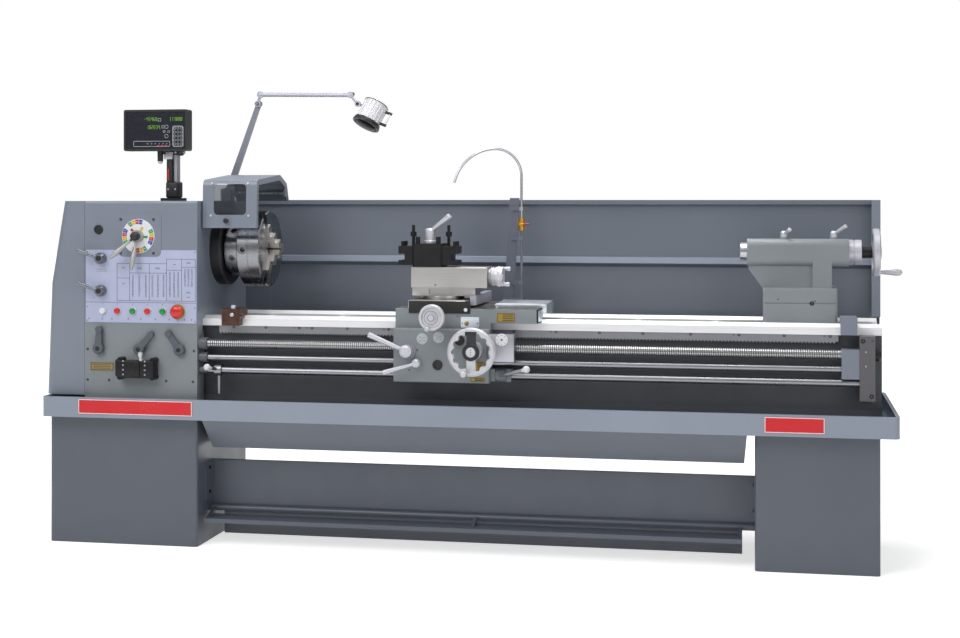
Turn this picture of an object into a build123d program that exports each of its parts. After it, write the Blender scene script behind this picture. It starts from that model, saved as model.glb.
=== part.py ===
"""Manual engine lathe: 533 mm swing over the bed, 2 m between centres, with a chip tray,
splash guard, digital readout, work lamp, coolant pipe and full-length foot brake.

X runs along the bed to the right, Y to the back, Z up from the floor. Lengths are millimetres.
The pieces are drawn with the spindle axis at Y = 0 and moved back by AXIS_BACK when written,
so that the origin lies on the floor under the middle of the machine.
"""
import math
import os
from math import asin, atan2, cos, degrees, hypot, pi, radians, sin, sqrt

from build123d import *

# Whole machine
AXIS_Z = 1149.0          # spindle axis above the floor
SWING_RADIUS = 266.7     # spindle axis above the bed ways
AXIS_BACK = 36.0         # spindle axis behind the middle of the machine
WAY_Z = AXIS_Z - SWING_RADIUS
SHAFT_GAP = 0.1          # radial running gap of a shaft in its bore
SLIDE_GAP = 0.3          # gap between faces that slide over each other

# Chip tray and cabinets
TRAY_X = (-1643.0, 1608.0)
TRAY_Y = (-340.0, 400.0)
TRAY_Z = 500.0
TRAY_RIM = 78.0
TRAY_LIP = 14.0
TRAY_SHEET = 3.0
TRAY_CORNER = 22.0
HOPPER_X = (-1000.0, 1075.0)
HOPPER_Y = (-300.0, 300.0)
HOPPER_DEPTH = 122.0
HOPPER_TAPER = (12.0, 95.0)      # how far the walls lean in along X and Y
CABINET_LEFT = (-1636.0, -1025.0)
CABINET_RIGHT = (1102.0, 1545.0)
CABINET_Y = (-277.0, 300.0)
CABINET_SHEET = 5.0
CABINET_CORNER = 14.0
FOOT_HOLE_R = 9.0
FOOT_HOLE_INSET = 55.0

# Panel between the cabinets and the foot brake in front of it
KICK_Y = -102.0
KICK_Z = (22.0, 312.0)
KICK_SHEET = 4.0
KICK_FLANGE = 88.0
KICK_NOTCH = (48.0, 100.0)
PEDAL_SHAFT = (-122.0, 126.0, 12.0)      # Y, Z and radius
PEDAL_Y = (-236.0, -134.0)
PEDAL_Z = 104.0
PEDAL_SHEET = 5.0
PEDAL_END_GAP = 12.0
PEDAL_ARM = 14.0

# Bed
BED_X = (-1445.0, 1555.0)
WAY_DEPTH = 27.0
FRONT_WAY_Y = (-217.0, -95.0)
REAR_WAY_Y = (80.0, 197.0)
FRONT_V_Y = -180.0
REAR_V_Y = 111.0
V_HALF = 16.0
V_HEIGHT = 12.0
BED_WALL = 25.0
FRONT_WALL_Y = -190.0
REAR_WALL_Y = 175.0
BED_LOW = 560.0
BED_FLANGE = (15.0, 25.0)        # how far it stands out, and its height
RIB_PITCH = 280.0
RIB_THICK = 18.0
BED_FOOT_LEFT = (-1440.0, -1090.0)
BED_FOOT_RIGHT = (1190.0, 1505.0)
RACK_X = (-960.0, 1400.0)
RACK_HEIGHT = 33.0
RACK_THICK = 18.0
RACK_PITCH = 12.57
RACK_TOOTH = 8.0

# Headstock and feed gearbox
HEAD_X = (-1490.0, -1025.0)
HEAD_Y = (-277.0, 290.0)
HEAD_TOP = 1341.0
HEAD_WALL = 34.0
HEAD_CORNER = 10.0
SEAM_Z = 862.0                   # where the headstock front meets the gearbox
COVER_X = (-1657.0, -1640.0, -1585.0)    # left side at the bottom, at the knee and at the top
COVER_KNEE_Z = 1017.0
COVER_LOW = 580.0
COVER_WALL = 4.0
COVER_CORNER = 34.0
COVER_GAP = 1.0                  # shut line between cover and headstock
COVER_HINGE_OUT = 14.0
COVER_HINGE_R = 11.0
COVER_PIN_R = 6.0
COVER_HINGE_Z = (960.0, 1260.0)
COVER_HINGE_LENGTH = 46.0
GEARBOX_BACK = -192.0
GEARBOX_PLATE = 40.0
GEARBOX_PLATE_BACK = -120.0

# Spindle, bearings and chuck
SPINDLE_BORE_R = 26.0
SPINDLE_R = 60.0
SPINDLE_TAIL_R = 45.0
SPINDLE_TAIL_X = -1550.0
BEARING_R = 84.0
BEARING_LENGTH = 44.0
BEARING_COVER_R = 145.0
BEARING_COVER_X = -981.0
NOSE_X = (-979.0, -912.0)
NOSE_R = 110.0
CAM_R = 12.0
CAM_DEPTH = 18.0
CAM_ANGLE = -18.0
CHUCK_R = 152.5
CHUCK_LENGTH = 93.0
CHUCK_BORE_R = 40.0
JAW_ANGLES = (60.0, -60.0, 180.0)
JAW_RADIAL = (5.0, 105.0)
JAW_WIDTH = 32.0
JAW_SLOT_DEPTH = 25.0
JAW_HEIGHT = 43.0
JAW_STEP = (30.0, 15.0)          # along the radius and along the axis
JAW_TONGUE = (6.0, 8.0)          # how far it stands out and its thickness
KEY_SOCKET_R = 10.0
KEY_BOSS_R = 18.0

# Drive and change gears behind the end cover
MODULE = 4.0
SPINDLE_TEETH = 30
IDLER_TEETH = 68
FEED_TEETH = 20
BACKLASH = 1.4
GEAR_X = (-1542.0, -1518.0)
FEED_SHAFT_Y = -222.0
IDLER_STUD_R = 15.0
FEED_SHAFT_R = 10.0
BELT_COUNT = 3
BELT_WIDTH = 12.0
BELT_THICK = 9.0
BELT_PITCH = 20.0
BELT_START_X = -1604.0
PULLEY_FLANGE = 5.0
INPUT_PULLEY = (140.0, 1010.0, 96.0)     # Y, Z and groove radius
MOTOR_PULLEY = (100.0, 262.0, 60.0)
DRIVE_SHAFT_R = 19.0
MOTOR_X = (-1540.0, -1180.0)
MOTOR_R = 118.0
BELT_SLOT_Y = (4.0, 226.0)

# Rods along the front of the bed
ROD_Y = -250.0
LEADSCREW = (788.0, 17.5)        # Z and radius
FEED_ROD = (735.0, 12.5)
CONTROL_ROD = (686.0, 14.0)
ROD_X = (-1075.0, 1522.0)
ROD_COLLAR_R = 24.0
ROD_COLLAR_X = (-1024.0, -990.0)
BRACKET_X = (1472.0, 1526.0)
BRACKET_Z = (625.0, 857.0)
BRACKET_FRONT = -281.0
ROD_BLOCK_X = 1409.0
ROD_BLOCK_Z = (702.0, 808.0)
END_NUT_R = 22.0
CONTROL_ARM_X = -958.0
STOP_LEFT_X = (-935.0, -862.0)
STOP_RIGHT_X = (1407.0, 1465.0)
STOP_Z = (860.0, 922.0)
STOP_FRONT = -252.0

# Carriage
SADDLE_X = (-239.0, 301.0)
SADDLE_TOP = 935.0
SADDLE_FRONT = -262.0
SADDLE_BACK = 215.0
FRONT_WING_BACK = -148.0
REAR_WING_FRONT = 131.0
BRIDGE_X = (-150.0, 120.0)
APRON_X = (-239.0, 128.0)
APRON_Z = (660.0, 862.0)
APRON_Y = (-300.0, -222.0)
ROD_BORE_GAP = 0.6
CARRIAGE_WHEEL = (78.0, 786.0)   # X and Z of its axis
CARRIAGE_WHEEL_R = 90.0
CARRIAGE_WHEEL_Y = -398.0
CROSS_WHEEL = (-70.0, 911.0)
CROSS_WHEEL_R = 49.0
CROSS_WHEEL_Y = -402.0
HALFNUT_LEVER = (-184.0, 779.0)
FEED_LEVER = (-147.0, 733.0)
DIAL_BOX_X = 223.0
DIAL_BOX_Z = (744.0, 846.0)
LEVER_CHEEK = (18.0, 206.0)      # thickness, and X of the right cheek's outer face

# Cross slide, compound and tool post
SLIDE_X = (-80.0, 110.0)         # middle and half width
SLIDE_Y = (-262.0, 150.0)
SLIDE_TOP = 966.0
DOVETAIL = (60.0, 75.0, 22.0)    # half width at the foot and at the top, and height
POST_CENTRE = (-134.0, -128.0)
SWIVEL_CENTRE = (-80.0, -128.0)
SWIVEL_R = 80.0
SWIVEL_THICK = 13.0
SWIVEL_PIN_R = 22.0
COMPOUND_X = (-191.0, 54.0)
COMPOUND_Z = 1010.0
COMPOUND_HALF = 58.0
TOP_SLIDE_X = (-195.0, 100.0)
TOP_SLIDE_TOP = 1088.0
TOP_SLIDE_HALF = 62.0
SMALL_DOVETAIL = (30.0, 40.0, 18.0)
CRANK_Z = 1052.0
CRANK_SHAFT_R = 9.0
CRANK_SHAFT_LENGTH = 18.0
CRANK_DIAL_R = 30.0
CRANK_R = 40.0
POST_BLOCK = (58.0, 90.0)        # half width and height
HOLDER = (56.0, 100.0, 72.0)     # length, width and height
HOLDER_SLOT = 24.0

# Coolant pipe on the carriage
PIPE_XY = (170.0, 205.0)
PIPE_R = 5.0
PIPE_STRAIGHT_TOP = 1440.0
PIPE_ARC_RISE = 110.0
PIPE_ARC_FALL = 180.0
PIPE_TIP_Y = 60.0
PIPE_TIP_X = -88.0
POST_BAR = (118.0, 142.0, 40.0, 6.0)     # X at the foot and at the top, width, thickness
POST_BAR_TOP = 1353.0

# Tailstock
TAIL_X = (1130.0, 1400.0)
TAIL_Y = (-144.0, 128.0)
TAIL_BASE_TOP = 1016.0
TAIL_PARTING_Z = 962.0
BARREL_X = (1071.0, 1446.0)
BARREL_HALF = 58.0
BARREL_Z = (1096.0, 1198.0)
BARREL_ROUND = 26.0
TAIL_LEG_X = (1313.0, 1383.0)
QUILL_R = 34.5
QUILL_X = (1044.0, 1330.0)
QUILL_TAPER = (22.0, 17.0, 110.0)
TAIL_COLLAR_R = 47.0
TAIL_COLLAR_X = 1492.0
TAIL_WHEEL_X = (1534.0, 1560.0)
TAIL_WHEEL_R = 89.0
TAIL_HANDLE = (75.0, 82.0)       # below the axis, and length
TAIL_SHAFT_R = 14.0
QUILL_LEVER = (1208.0, -10.0)
TAIL_CLAMP = (1392.0, 0.0)

# Splash guard, chuck guard
SPLASH_X = (-943.0, 1580.0)
SPLASH_BACK = 383.0
SPLASH_TOP = 1345.0
SPLASH_SHEET = 3.0
SPLASH_LIP = (18.0, 18.0)
SPLASH_RIB_Z = (1070.0, 1087.0, 1112.0)
SPLASH_RIB_OUT = 22.0
SPLASH_WING_FRONT = 300.0
SPLASH_SKIRT = (1590.0, 880.0)   # right end and top of the lower rear sheet
GUARD_X = (-1019.0, -799.0)
GUARD_SHEET = 3.0
GUARD_FRONT_LOW = (-236.0, 1236.0)
GUARD_FRONT_TOP = (-230.0, 1423.0)
GUARD_CROWN = (60.0, 1447.0)
GUARD_BACK_TOP = (150.0, 1412.0)
GUARD_BACK_LOW = (176.0, 1341.0)
GUARD_BAND = 22.0
GUARD_WINDOW = (-974.0, -842.0, 1287.0, 1407.0)
GUARD_BAR = (145.0, 1374.0, 8.0)

# Front panel pieces
PLATE_THICK = 2.0
SPEED_PLATE = (-1349.0, -1172.0, 1123.0, 1294.0)
SPEED_DISC = (-1266.0, 1204.0, 67.0)
LEGEND_PLATE = (-1485.0, -1028.0, 866.0, 1150.0)
BUTTON_X = (-1414.0, -1353.0, -1289.0, -1228.0, -1165.0)
BUTTON_Z = 911.0
BUTTON_R = 12.0
STOP_BUTTON_X = -1103.0
STOP_BUTTON_R = 24.5
STOP_STEM_R = 10.0
STOP_TRAVEL = 6.0
SIGHT_PLUG = (-1432.0, 1229.0, 18.5)
TUMBLER = (-1345.0, -1184.0, 649.0, 735.0)
TUMBLER_OUT = 52.0
BRASS_PLATE = (-1466.0, -1368.0, 676.0, 709.0)
RIM_PLATES = ((-1488.0, -1021.0, 514.0, 572.0), (1136.0, 1348.0, 512.0, 570.0))
HEAD_LEVERS = ((-1419.0, 1117.0), (-1419.0, 990.0))
HEAD_LEVER_REACH = (-84.0, 32.0)
FEED_SELECTORS = ((-1428.0, 764.0, 3.0), (-1260.0, 764.0, 41.0), (-1094.0, 764.0, -35.0))
SELECTOR_LENGTH = 84.0

# Readout and lamp
LEVER_CHAMFER = 2.0
READOUT_X = (-1383.0, -1115.0)
READOUT_Y = (-150.0, -98.0)
READOUT_Z = (1540.0, 1705.0)
READOUT_POST = (-1205.0, -60.0, 36.0)    # X, Y and width
READOUT_PIVOT_Z = 1538.0
LAMP_Y = 240.0
LAMP_BASE_X = -1082.0
LAMP_ELBOW = (-950.0, 1747.0)
LAMP_TUBE = (-939.0, -550.0, 1785.0)
LAMP_KNUCKLE = (-518.0, 1742.0)
LAMP_FACE = (-480.0, 214.0, 1657.0)
LAMP_LINK_SHIFT = 13.3
LAMP_TUBE_R = 9.0
LAMP_TUBE_DROP = 6.0
LAMP_LINK_R = 6.0
LAMP_EYE_R = 12.5
LAMP_EYE_HALF = 8.0
LAMP_ELBOW_PIN_R = 5.0
LAMP_KNUCKLE_PIN_R = 4.0
LAMP_AIM = (-0.37, -0.36, -0.86)
LAMP_R = 52.0
LAMP_LENGTH = 105.0
LAMP_WALL = 4.0
LAMP_RIM = (12.0, 2.0)           # its length and how far it stands out
LAMP_FLUTES = 18
LAMP_FLUTE = (4.5, 2.3)          # radius and depth
LAMP_BULB_R = 18.0
LAMP_HANDLE = (4.0, 24.0)        # its bar's radius and how far it stands off


def box(x, y, z):
    """A block between three (low, high) pairs."""
    size = [high - low for low, high in (x, y, z)]
    middle = [(low + high) / 2 for low, high in (x, y, z)]
    return Pos(*middle) * Box(*size)


def rod(start, end, radius):
    """A round bar between two points."""
    way = Vector(*end) - Vector(*start)
    return extrude(Plane(origin=start, z_dir=way) * Circle(radius), amount=way.length)


def prism(points, shift):
    """A straight-sided solid: the flat outline through the points, pushed along shift."""
    face = make_face(Polyline(*points, close=True))
    way = Vector(*shift)
    return extrude(face, amount=way.length, dir=way.normalized())


def bar_x(outline, x):
    """A bar along X whose section is a list of (y, z) points."""
    return prism([(x[0], y, z) for y, z in outline], (x[1] - x[0], 0, 0))


def plate_y(outline, y):
    """A plate between two Y faces whose outline is a list of (x, z) points."""
    return prism([(px, y[0], z) for px, z in outline], (0, y[1] - y[0], 0))


def turned(outline, origin, direction):
    """A turned piece: (distance along the axis, radius) points spun round the axis."""
    along = Vector(*direction).normalized()
    side = Vector(0, 0, 1) if abs(along.Z) < 0.9 else Vector(1, 0, 0)
    plane = Plane(origin=origin, x_dir=along, z_dir=along.cross(side))
    return revolve(plane * make_face(Polyline(*outline, close=True)), axis=Axis(origin, along))


def ball(centre, radius):
    return Pos(*centre) * Sphere(radius)


def lever_arm(start, tip, slim, thick):
    """A turned lever: it widens evenly from slim at its root to thick at its chamfered end."""
    way = Vector(*tip) - Vector(*start)
    length = way.length
    outline = [(0, 0), (0, slim), (length - thick, thick), (length - LEVER_CHAMFER, thick),
               (length, thick - LEVER_CHAMFER), (length, 0)]
    return turned(outline, start, tuple(way))


def spindle_grip(start, tip, slim, thick):
    """A slim stem with a long grip that swells in the middle and narrows to its end."""
    way = Vector(*tip) - Vector(*start)
    length = way.length
    outline = [(0, 0), (0, slim), (length * 0.34, slim), (length * 0.62, thick), (length * 0.8, thick),
               (length, slim), (length, 0)]
    return turned(outline, start, tuple(way))


def group(*shapes):
    """Separate solids that share one node."""
    return Compound([solid for shape in shapes for solid in shape.solids()])


def round_x(shape, radius, keep=lambda edge: True):
    """Rounds the edges that run along X."""
    return fillet([e for e in shape.edges().filter_by(Axis.X) if keep(e)], radius)


def dovetail(middle, feet, along, widths, low, gap=0.0):
    """A dovetail bar along X or Y: half widths at its foot and top, grown by gap all round."""
    foot, top, height = widths
    outline = [(middle - foot - gap, low), (middle + foot + gap, low),
               (middle + top + gap, low + height + gap), (middle - top - gap, low + height + gap)]
    if along == "Y":
        return prism([(x, feet[0], z) for x, z in outline], (0, feet[1] - feet[0], 0))
    return bar_x(outline, feet)


# Chip tray and cabinets

def chip_tray():
    rim_top = TRAY_Z + TRAY_RIM
    outer = box(TRAY_X, TRAY_Y, (TRAY_Z, rim_top))
    outer = fillet(outer.edges().filter_by(Axis.Z), TRAY_CORNER)
    inner = box([TRAY_X[0] + TRAY_SHEET, TRAY_X[1] - TRAY_SHEET],
                [TRAY_Y[0] + TRAY_SHEET, TRAY_Y[1] - TRAY_SHEET], (TRAY_Z + TRAY_SHEET, rim_top - TRAY_SHEET))
    inner = fillet(inner.edges().filter_by(Axis.Z), TRAY_CORNER - TRAY_SHEET)
    mouth = box([TRAY_X[0] + TRAY_LIP, TRAY_X[1] - TRAY_LIP],
                [TRAY_Y[0] + TRAY_LIP, TRAY_Y[1] - TRAY_LIP], (rim_top - 2 * TRAY_SHEET, rim_top))
    tray = outer - inner - mouth
    sheet = TRAY_SHEET
    funnel = hopper(0)
    hollow = hopper(sheet)
    slot_x = (BELT_START_X - 6, BELT_START_X + BELT_COUNT * BELT_PITCH + 6)
    slot = box(slot_x, BELT_SLOT_Y, (TRAY_Z - 1, TRAY_Z + sheet + 1))
    return tray + funnel - hollow - slot


def hopper(inset):
    """The sloping trough below the tray, or its hollow when inset is the sheet's thickness."""
    top = TRAY_Z + TRAY_SHEET if inset else TRAY_Z
    low = TRAY_Z - HOPPER_DEPTH + inset
    upper = Plane.XY.offset(top) * rectangle(HOPPER_X, HOPPER_Y, inset)
    x = (HOPPER_X[0] + HOPPER_TAPER[0], HOPPER_X[1] - HOPPER_TAPER[0])
    y = (HOPPER_Y[0] + HOPPER_TAPER[1], HOPPER_Y[1] - HOPPER_TAPER[1])
    lower = Plane.XY.offset(low) * rectangle(x, y, inset)
    return loft([upper.face(), lower.face()])


def rectangle(x, y, inset):
    size = (x[1] - x[0] - 2 * inset, y[1] - y[0] - 2 * inset)
    return Pos((x[0] + x[1]) / 2, (y[0] + y[1]) / 2) * Rectangle(*size)


def cabinet(x, belt_slot=False):
    """A folded sheet box with rounded upright corners and four holding-down holes."""
    outer = fillet(box(x, CABINET_Y, (0, TRAY_Z)).edges().filter_by(Axis.Z), CABINET_CORNER)
    sheet = CABINET_SHEET
    inner = box((x[0] + sheet, x[1] - sheet), (CABINET_Y[0] + sheet, CABINET_Y[1] - sheet),
                (sheet, TRAY_Z - sheet))
    inner = fillet(inner.edges().filter_by(Axis.Z), CABINET_CORNER - sheet)
    body = outer - inner
    for hole_x in (x[0] + FOOT_HOLE_INSET, x[1] - FOOT_HOLE_INSET):
        for hole_y in (CABINET_Y[0] + FOOT_HOLE_INSET, CABINET_Y[1] - FOOT_HOLE_INSET):
            body -= rod((hole_x, hole_y, -1), (hole_x, hole_y, sheet + 1), FOOT_HOLE_R)
    if belt_slot:
        slot_x = (BELT_START_X - 6, BELT_START_X + BELT_COUNT * BELT_PITCH + 6)
        body -= box(slot_x, BELT_SLOT_Y, (TRAY_Z - 2 * sheet, TRAY_Z + 1))
    return body


def kick_panel():
    """The recessed sheet between the cabinets, with a bolted flange at each end."""
    left, right = CABINET_LEFT[1], CABINET_RIGHT[0]
    low, high = KICK_Z
    wide, tall = KICK_NOTCH
    outline = [(left, low + tall), (left + wide, low + tall), (left + wide, low),
               (right - wide, low), (right - wide, low + tall), (right, low + tall),
               (right, high), (left, high)]
    panel = plate_y(outline, (KICK_Y, KICK_Y + KICK_SHEET))
    for x in ((left, left + KICK_SHEET), (right - KICK_SHEET, right)):
        panel += box(x, (KICK_Y - KICK_FLANGE, KICK_Y + KICK_SHEET), (low + tall + 40, high))
    top_fold = box((left, right), (KICK_Y, KICK_Y + 24), (high - KICK_SHEET, high))
    return panel + top_fold


def foot_pedal():
    """The foot brake: a long folded tread on arms along a pivot shaft."""
    y, z, radius = PEDAL_SHAFT
    left, right = CABINET_LEFT[1] + PEDAL_END_GAP, CABINET_RIGHT[0] - PEDAL_END_GAP
    tread = bar_x([(PEDAL_Y[0], PEDAL_Z - 16), (PEDAL_Y[0] + PEDAL_SHEET, PEDAL_Z - 16),
                   (PEDAL_Y[0] + PEDAL_SHEET, PEDAL_Z - PEDAL_SHEET),
                   (PEDAL_Y[1], PEDAL_Z - PEDAL_SHEET), (PEDAL_Y[1], PEDAL_Z),
                   (PEDAL_Y[0], PEDAL_Z)], (left, right - 36))
    ends = (CABINET_LEFT[1] + SLIDE_GAP, CABINET_RIGHT[0] - SLIDE_GAP)
    pedal = tread + rod((ends[0], y, z), (ends[1], y, z), radius)
    for x in (left, (left + right) / 2, right - 36 - PEDAL_ARM):
        arm = bar_x([(PEDAL_Y[0] + 20, PEDAL_Z - PEDAL_SHEET - 14), (y, z - radius + 1),
                     (y, z + radius - 4), (PEDAL_Y[0] + 20, PEDAL_Z - 1)], (x, x + PEDAL_ARM))
        pedal += arm
    return pedal


# Bed and rack

def v_points(middle):
    return [(middle - V_HALF, WAY_Z), (middle, WAY_Z + V_HEIGHT), (middle + V_HALF, WAY_Z)]


def bed():
    """A ribbed casting with two walls, a V and a flat way in front and the same behind.

    Rails, ribs and feet are drawn as touching solids, which keeps the bays between them open.
    """
    relief = 4.0
    low = WAY_Z - WAY_DEPTH
    front_flat = TAIL_Y[0] + 4
    front = [(FRONT_WAY_Y[0], low), (FRONT_WAY_Y[0], WAY_Z)] + v_points(FRONT_V_Y) + [
        (FRONT_WING_BACK - 6, WAY_Z), (FRONT_WING_BACK - 6, WAY_Z - relief),
        (front_flat, WAY_Z - relief), (front_flat, WAY_Z), (FRONT_WAY_Y[1], WAY_Z),
        (FRONT_WAY_Y[1], low)]
    rear = [(REAR_WAY_Y[0], low), (REAR_WAY_Y[0], WAY_Z)] + v_points(REAR_V_Y) + [
        (REAR_WAY_Y[1], WAY_Z), (REAR_WAY_Y[1], low)]
    out, tall = BED_FLANGE
    rails = []
    for way, wall_y, flange_y in (
            (front, (FRONT_WALL_Y, FRONT_WALL_Y + BED_WALL), (FRONT_WALL_Y - out, -140)),
            (rear, (REAR_WALL_Y - BED_WALL, REAR_WALL_Y), (125, REAR_WALL_Y + out))):
        rails.append(bar_x(way, BED_X) + box(BED_X, wall_y, (BED_LOW, low))
                     + box(BED_X, flange_y, (BED_LOW, BED_LOW + tall)))
    count = int((BED_X[1] - BED_X[0] - RIB_THICK) / RIB_PITCH)
    step = (BED_X[1] - BED_X[0] - RIB_THICK) / count
    ribs = []
    for i in range(count + 1):
        x = BED_X[0] + i * step
        rib = box((x, x + RIB_THICK), (FRONT_WALL_Y + BED_WALL, REAR_WALL_Y - BED_WALL), (BED_LOW, low + 20))
        ribs.append(rib - rails[0] - rails[1])
    feet = [box(foot, (FRONT_WALL_Y - out, REAR_WALL_Y + out), (TRAY_Z + TRAY_SHEET, BED_LOW))
            for foot in (BED_FOOT_LEFT, BED_FOOT_RIGHT)]
    return group(*rails, *ribs, *feet)


def rack():
    """The carriage rack under the front way, its teeth pointing down."""
    top = WAY_Z - WAY_DEPTH
    tip, root = top - RACK_HEIGHT, top - RACK_HEIGHT + RACK_TOOTH
    outline = [(RACK_X[0], top), (RACK_X[0], root)]
    for i in range(int((RACK_X[1] - RACK_X[0]) / RACK_PITCH)):
        x = RACK_X[0] + i * RACK_PITCH
        outline += [(x + RACK_PITCH * 0.5, tip), (x + RACK_PITCH, root)]
    outline += [(RACK_X[1], root), (RACK_X[1], top)]
    return plate_y(outline, (FRONT_WALL_Y - RACK_THICK, FRONT_WALL_Y))


# Headstock

def gear_line():
    """Places of the idler and feed shafts, on one straight line from the spindle."""
    spindle_r, idler_r, feed_r = [MODULE * n / 2 for n in (SPINDLE_TEETH, IDLER_TEETH, FEED_TEETH)]
    whole = spindle_r + 2 * idler_r + feed_r
    down = sqrt(whole ** 2 - FEED_SHAFT_Y ** 2)
    share = (spindle_r + idler_r) / whole
    idler = (FEED_SHAFT_Y * share, AXIS_Z - down * share)
    return idler, (FEED_SHAFT_Y, AXIS_Z - down), degrees(atan2(-down, FEED_SHAFT_Y))


def headstock():
    """The hollow headstock casting, with its hinge pins, gear stud, guard bar and readout post."""
    body = box(HEAD_X, HEAD_Y, (WAY_Z, HEAD_TOP))
    body = fillet(body.edges().group_by(Axis.Z)[-1].filter_by(Axis.X), HEAD_CORNER)
    body += box(HEAD_X, (HEAD_Y[0], FRONT_WAY_Y[0]), (SEAM_Z, WAY_Z))
    wall = HEAD_WALL
    body -= box((HEAD_X[0] + wall, HEAD_X[1] - wall), (HEAD_Y[0] + wall, HEAD_Y[1] - wall),
                (WAY_Z + wall, HEAD_TOP - wall))
    for x in ((HEAD_X[0], HEAD_X[0] + BEARING_LENGTH + 10), (HEAD_X[1] - BEARING_LENGTH - 10, HEAD_X[1])):
        body += rod((x[0], 0, AXIS_Z), (x[1], 0, AXIS_Z), BEARING_R + 20)
    body -= rod((HEAD_X[0] - 1, 0, AXIS_Z), (HEAD_X[1] + 1, 0, AXIS_Z), BEARING_R)
    for v_y, v_x in ((FRONT_V_Y, HEAD_X), (REAR_V_Y, HEAD_X)):
        body -= bar_x([(v_y - V_HALF, WAY_Z - 1), (v_y - V_HALF, WAY_Z), (v_y, WAY_Z + V_HEIGHT),
                       (v_y + V_HALF, WAY_Z), (v_y + V_HALF, WAY_Z - 1)], (v_x[0] - 1, v_x[1] + 1))
    body -= shaft_hole(INPUT_PULLEY[0], INPUT_PULLEY[1], DRIVE_SHAFT_R)
    for x, z, radius in [(h[0], h[1], 10.0) for h in HEAD_LEVERS] + [
            (SPEED_DISC[0], SPEED_DISC[1], 12.0), (STOP_BUTTON_X, BUTTON_Z, STOP_STEM_R)]:
        body -= rod((x, HEAD_Y[0] - 1, z), (x, HEAD_Y[0] + wall - 6, z), radius + SHAFT_GAP)
    idler = gear_line()[0]
    body += rod((HEAD_X[0] + 1, *idler), (GEAR_X[0] - 4, *idler), IDLER_STUD_R)
    body += cover_hinge_pins() + guard_bar() + readout_post()
    body += rod((LAMP_BASE_X, LAMP_Y, HEAD_TOP - 1), (LAMP_BASE_X, LAMP_Y, HEAD_TOP + 20), 26)
    return body


def shaft_hole(y, z, radius):
    return rod((HEAD_X[0] - 1, y, z), (HEAD_X[0] + HEAD_WALL - 4, y, z), radius + SHAFT_GAP)


def cover_hinge_pins():
    """Two lugs on the back left edge, each with an upright pin for the end cover."""
    y = HEAD_Y[1] + COVER_HINGE_OUT
    pins = Part()
    for z in COVER_HINGE_Z:
        lug = box((HEAD_X[0], HEAD_X[0] + 30), (HEAD_Y[1] - 1, y + COVER_HINGE_R), (z - 22, z))
        lug += rod((HEAD_X[0], y, z - 22), (HEAD_X[0], y, z), COVER_HINGE_R)
        pins += lug + rod((HEAD_X[0], y, z - 22), (HEAD_X[0], y, z + COVER_HINGE_LENGTH), COVER_PIN_R)
    return pins


def guard_bar():
    """The round bar that the chuck guard swings on, with its bracket on the headstock."""
    y, z, radius = GUARD_BAR
    block = box((HEAD_X[1] - 52, HEAD_X[1] - 8), (y - 18, y + 18), (HEAD_TOP - 1, z + 18))
    return block + rod((HEAD_X[1] - 52, y, z), (GUARD_X[1] - 2, y, z), radius)


def readout_post():
    x, y, width = READOUT_POST
    half = width / 2
    foot = box((x - 42, x + 36), (y - 42, y + 42), (HEAD_TOP - 1, HEAD_TOP + 12))
    post = box((x - half, x + half), (y - half, y + half), (HEAD_TOP, READOUT_PIVOT_Z - 12))
    head = rod((x - half - 4, y, READOUT_PIVOT_Z), (x + half + 4, y, READOUT_PIVOT_Z), 14)
    pin = rod((x - half - 26, y, READOUT_PIVOT_Z), (x + half + 26, y, READOUT_PIVOT_Z), 8)
    return foot + post + head + pin


def end_cover():
    """The hollow hinged cover over the belts and change gears."""
    gap = COVER_GAP
    right = HEAD_X[0] - gap
    outline = [(COVER_X[0], COVER_LOW), (right, COVER_LOW), (right, HEAD_TOP),
               (COVER_X[2], HEAD_TOP), (COVER_X[1], COVER_KNEE_Z)]
    body = plate_y(outline, HEAD_Y)
    slanted = [e for e in body.edges() if abs(e.center().Y - HEAD_Y[0]) < 1 and e.center().X < right - 60
               and abs(e.tangent_at(0.5).Z) > 0.5]
    body = fillet(slanted, COVER_CORNER)
    wall = COVER_WALL
    hollow = [(COVER_X[0] + wall, COVER_LOW + wall), (right + 1, COVER_LOW + wall),
              (right + 1, HEAD_TOP - wall), (COVER_X[2] + wall + 2, HEAD_TOP - wall),
              (COVER_X[1] + wall, COVER_KNEE_Z)]
    inner = plate_y(hollow, (HEAD_Y[0] + wall, HEAD_Y[1] - wall))
    slanted = [e for e in inner.edges() if abs(e.center().Y - HEAD_Y[0] - wall) < 1
               and e.center().X < right - 60 and abs(e.tangent_at(0.5).Z) > 0.5]
    inner = fillet(slanted, COVER_CORNER - wall)
    body -= inner
    y = HEAD_Y[1] + COVER_HINGE_OUT
    slot_x = (BELT_START_X - 6, BELT_START_X + BELT_COUNT * BELT_PITCH + 6)
    # The slot for the belts runs out to the open side, so that they pass it as the cover swings
    swing = math.hypot(slot_x[0] - HEAD_X[0], BELT_SLOT_Y[0] - y)
    body -= box((slot_x[0], right + 1), (y - swing, BELT_SLOT_Y[1]), (COVER_LOW - 1, COVER_LOW + wall + 1))
    for z in COVER_HINGE_Z:
        low, high = z + SLIDE_GAP, z + COVER_HINGE_LENGTH
        x = HEAD_X[0]
        body += box((x - 30, x - 3), (HEAD_Y[1] - wall, y + COVER_HINGE_R), (low, high))
        body += rod((x, y, low), (x, y, high), COVER_HINGE_R)
        body -= rod((x, y, low - 1), (x, y, high + 1), COVER_PIN_R + SHAFT_GAP)
    return body


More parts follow.
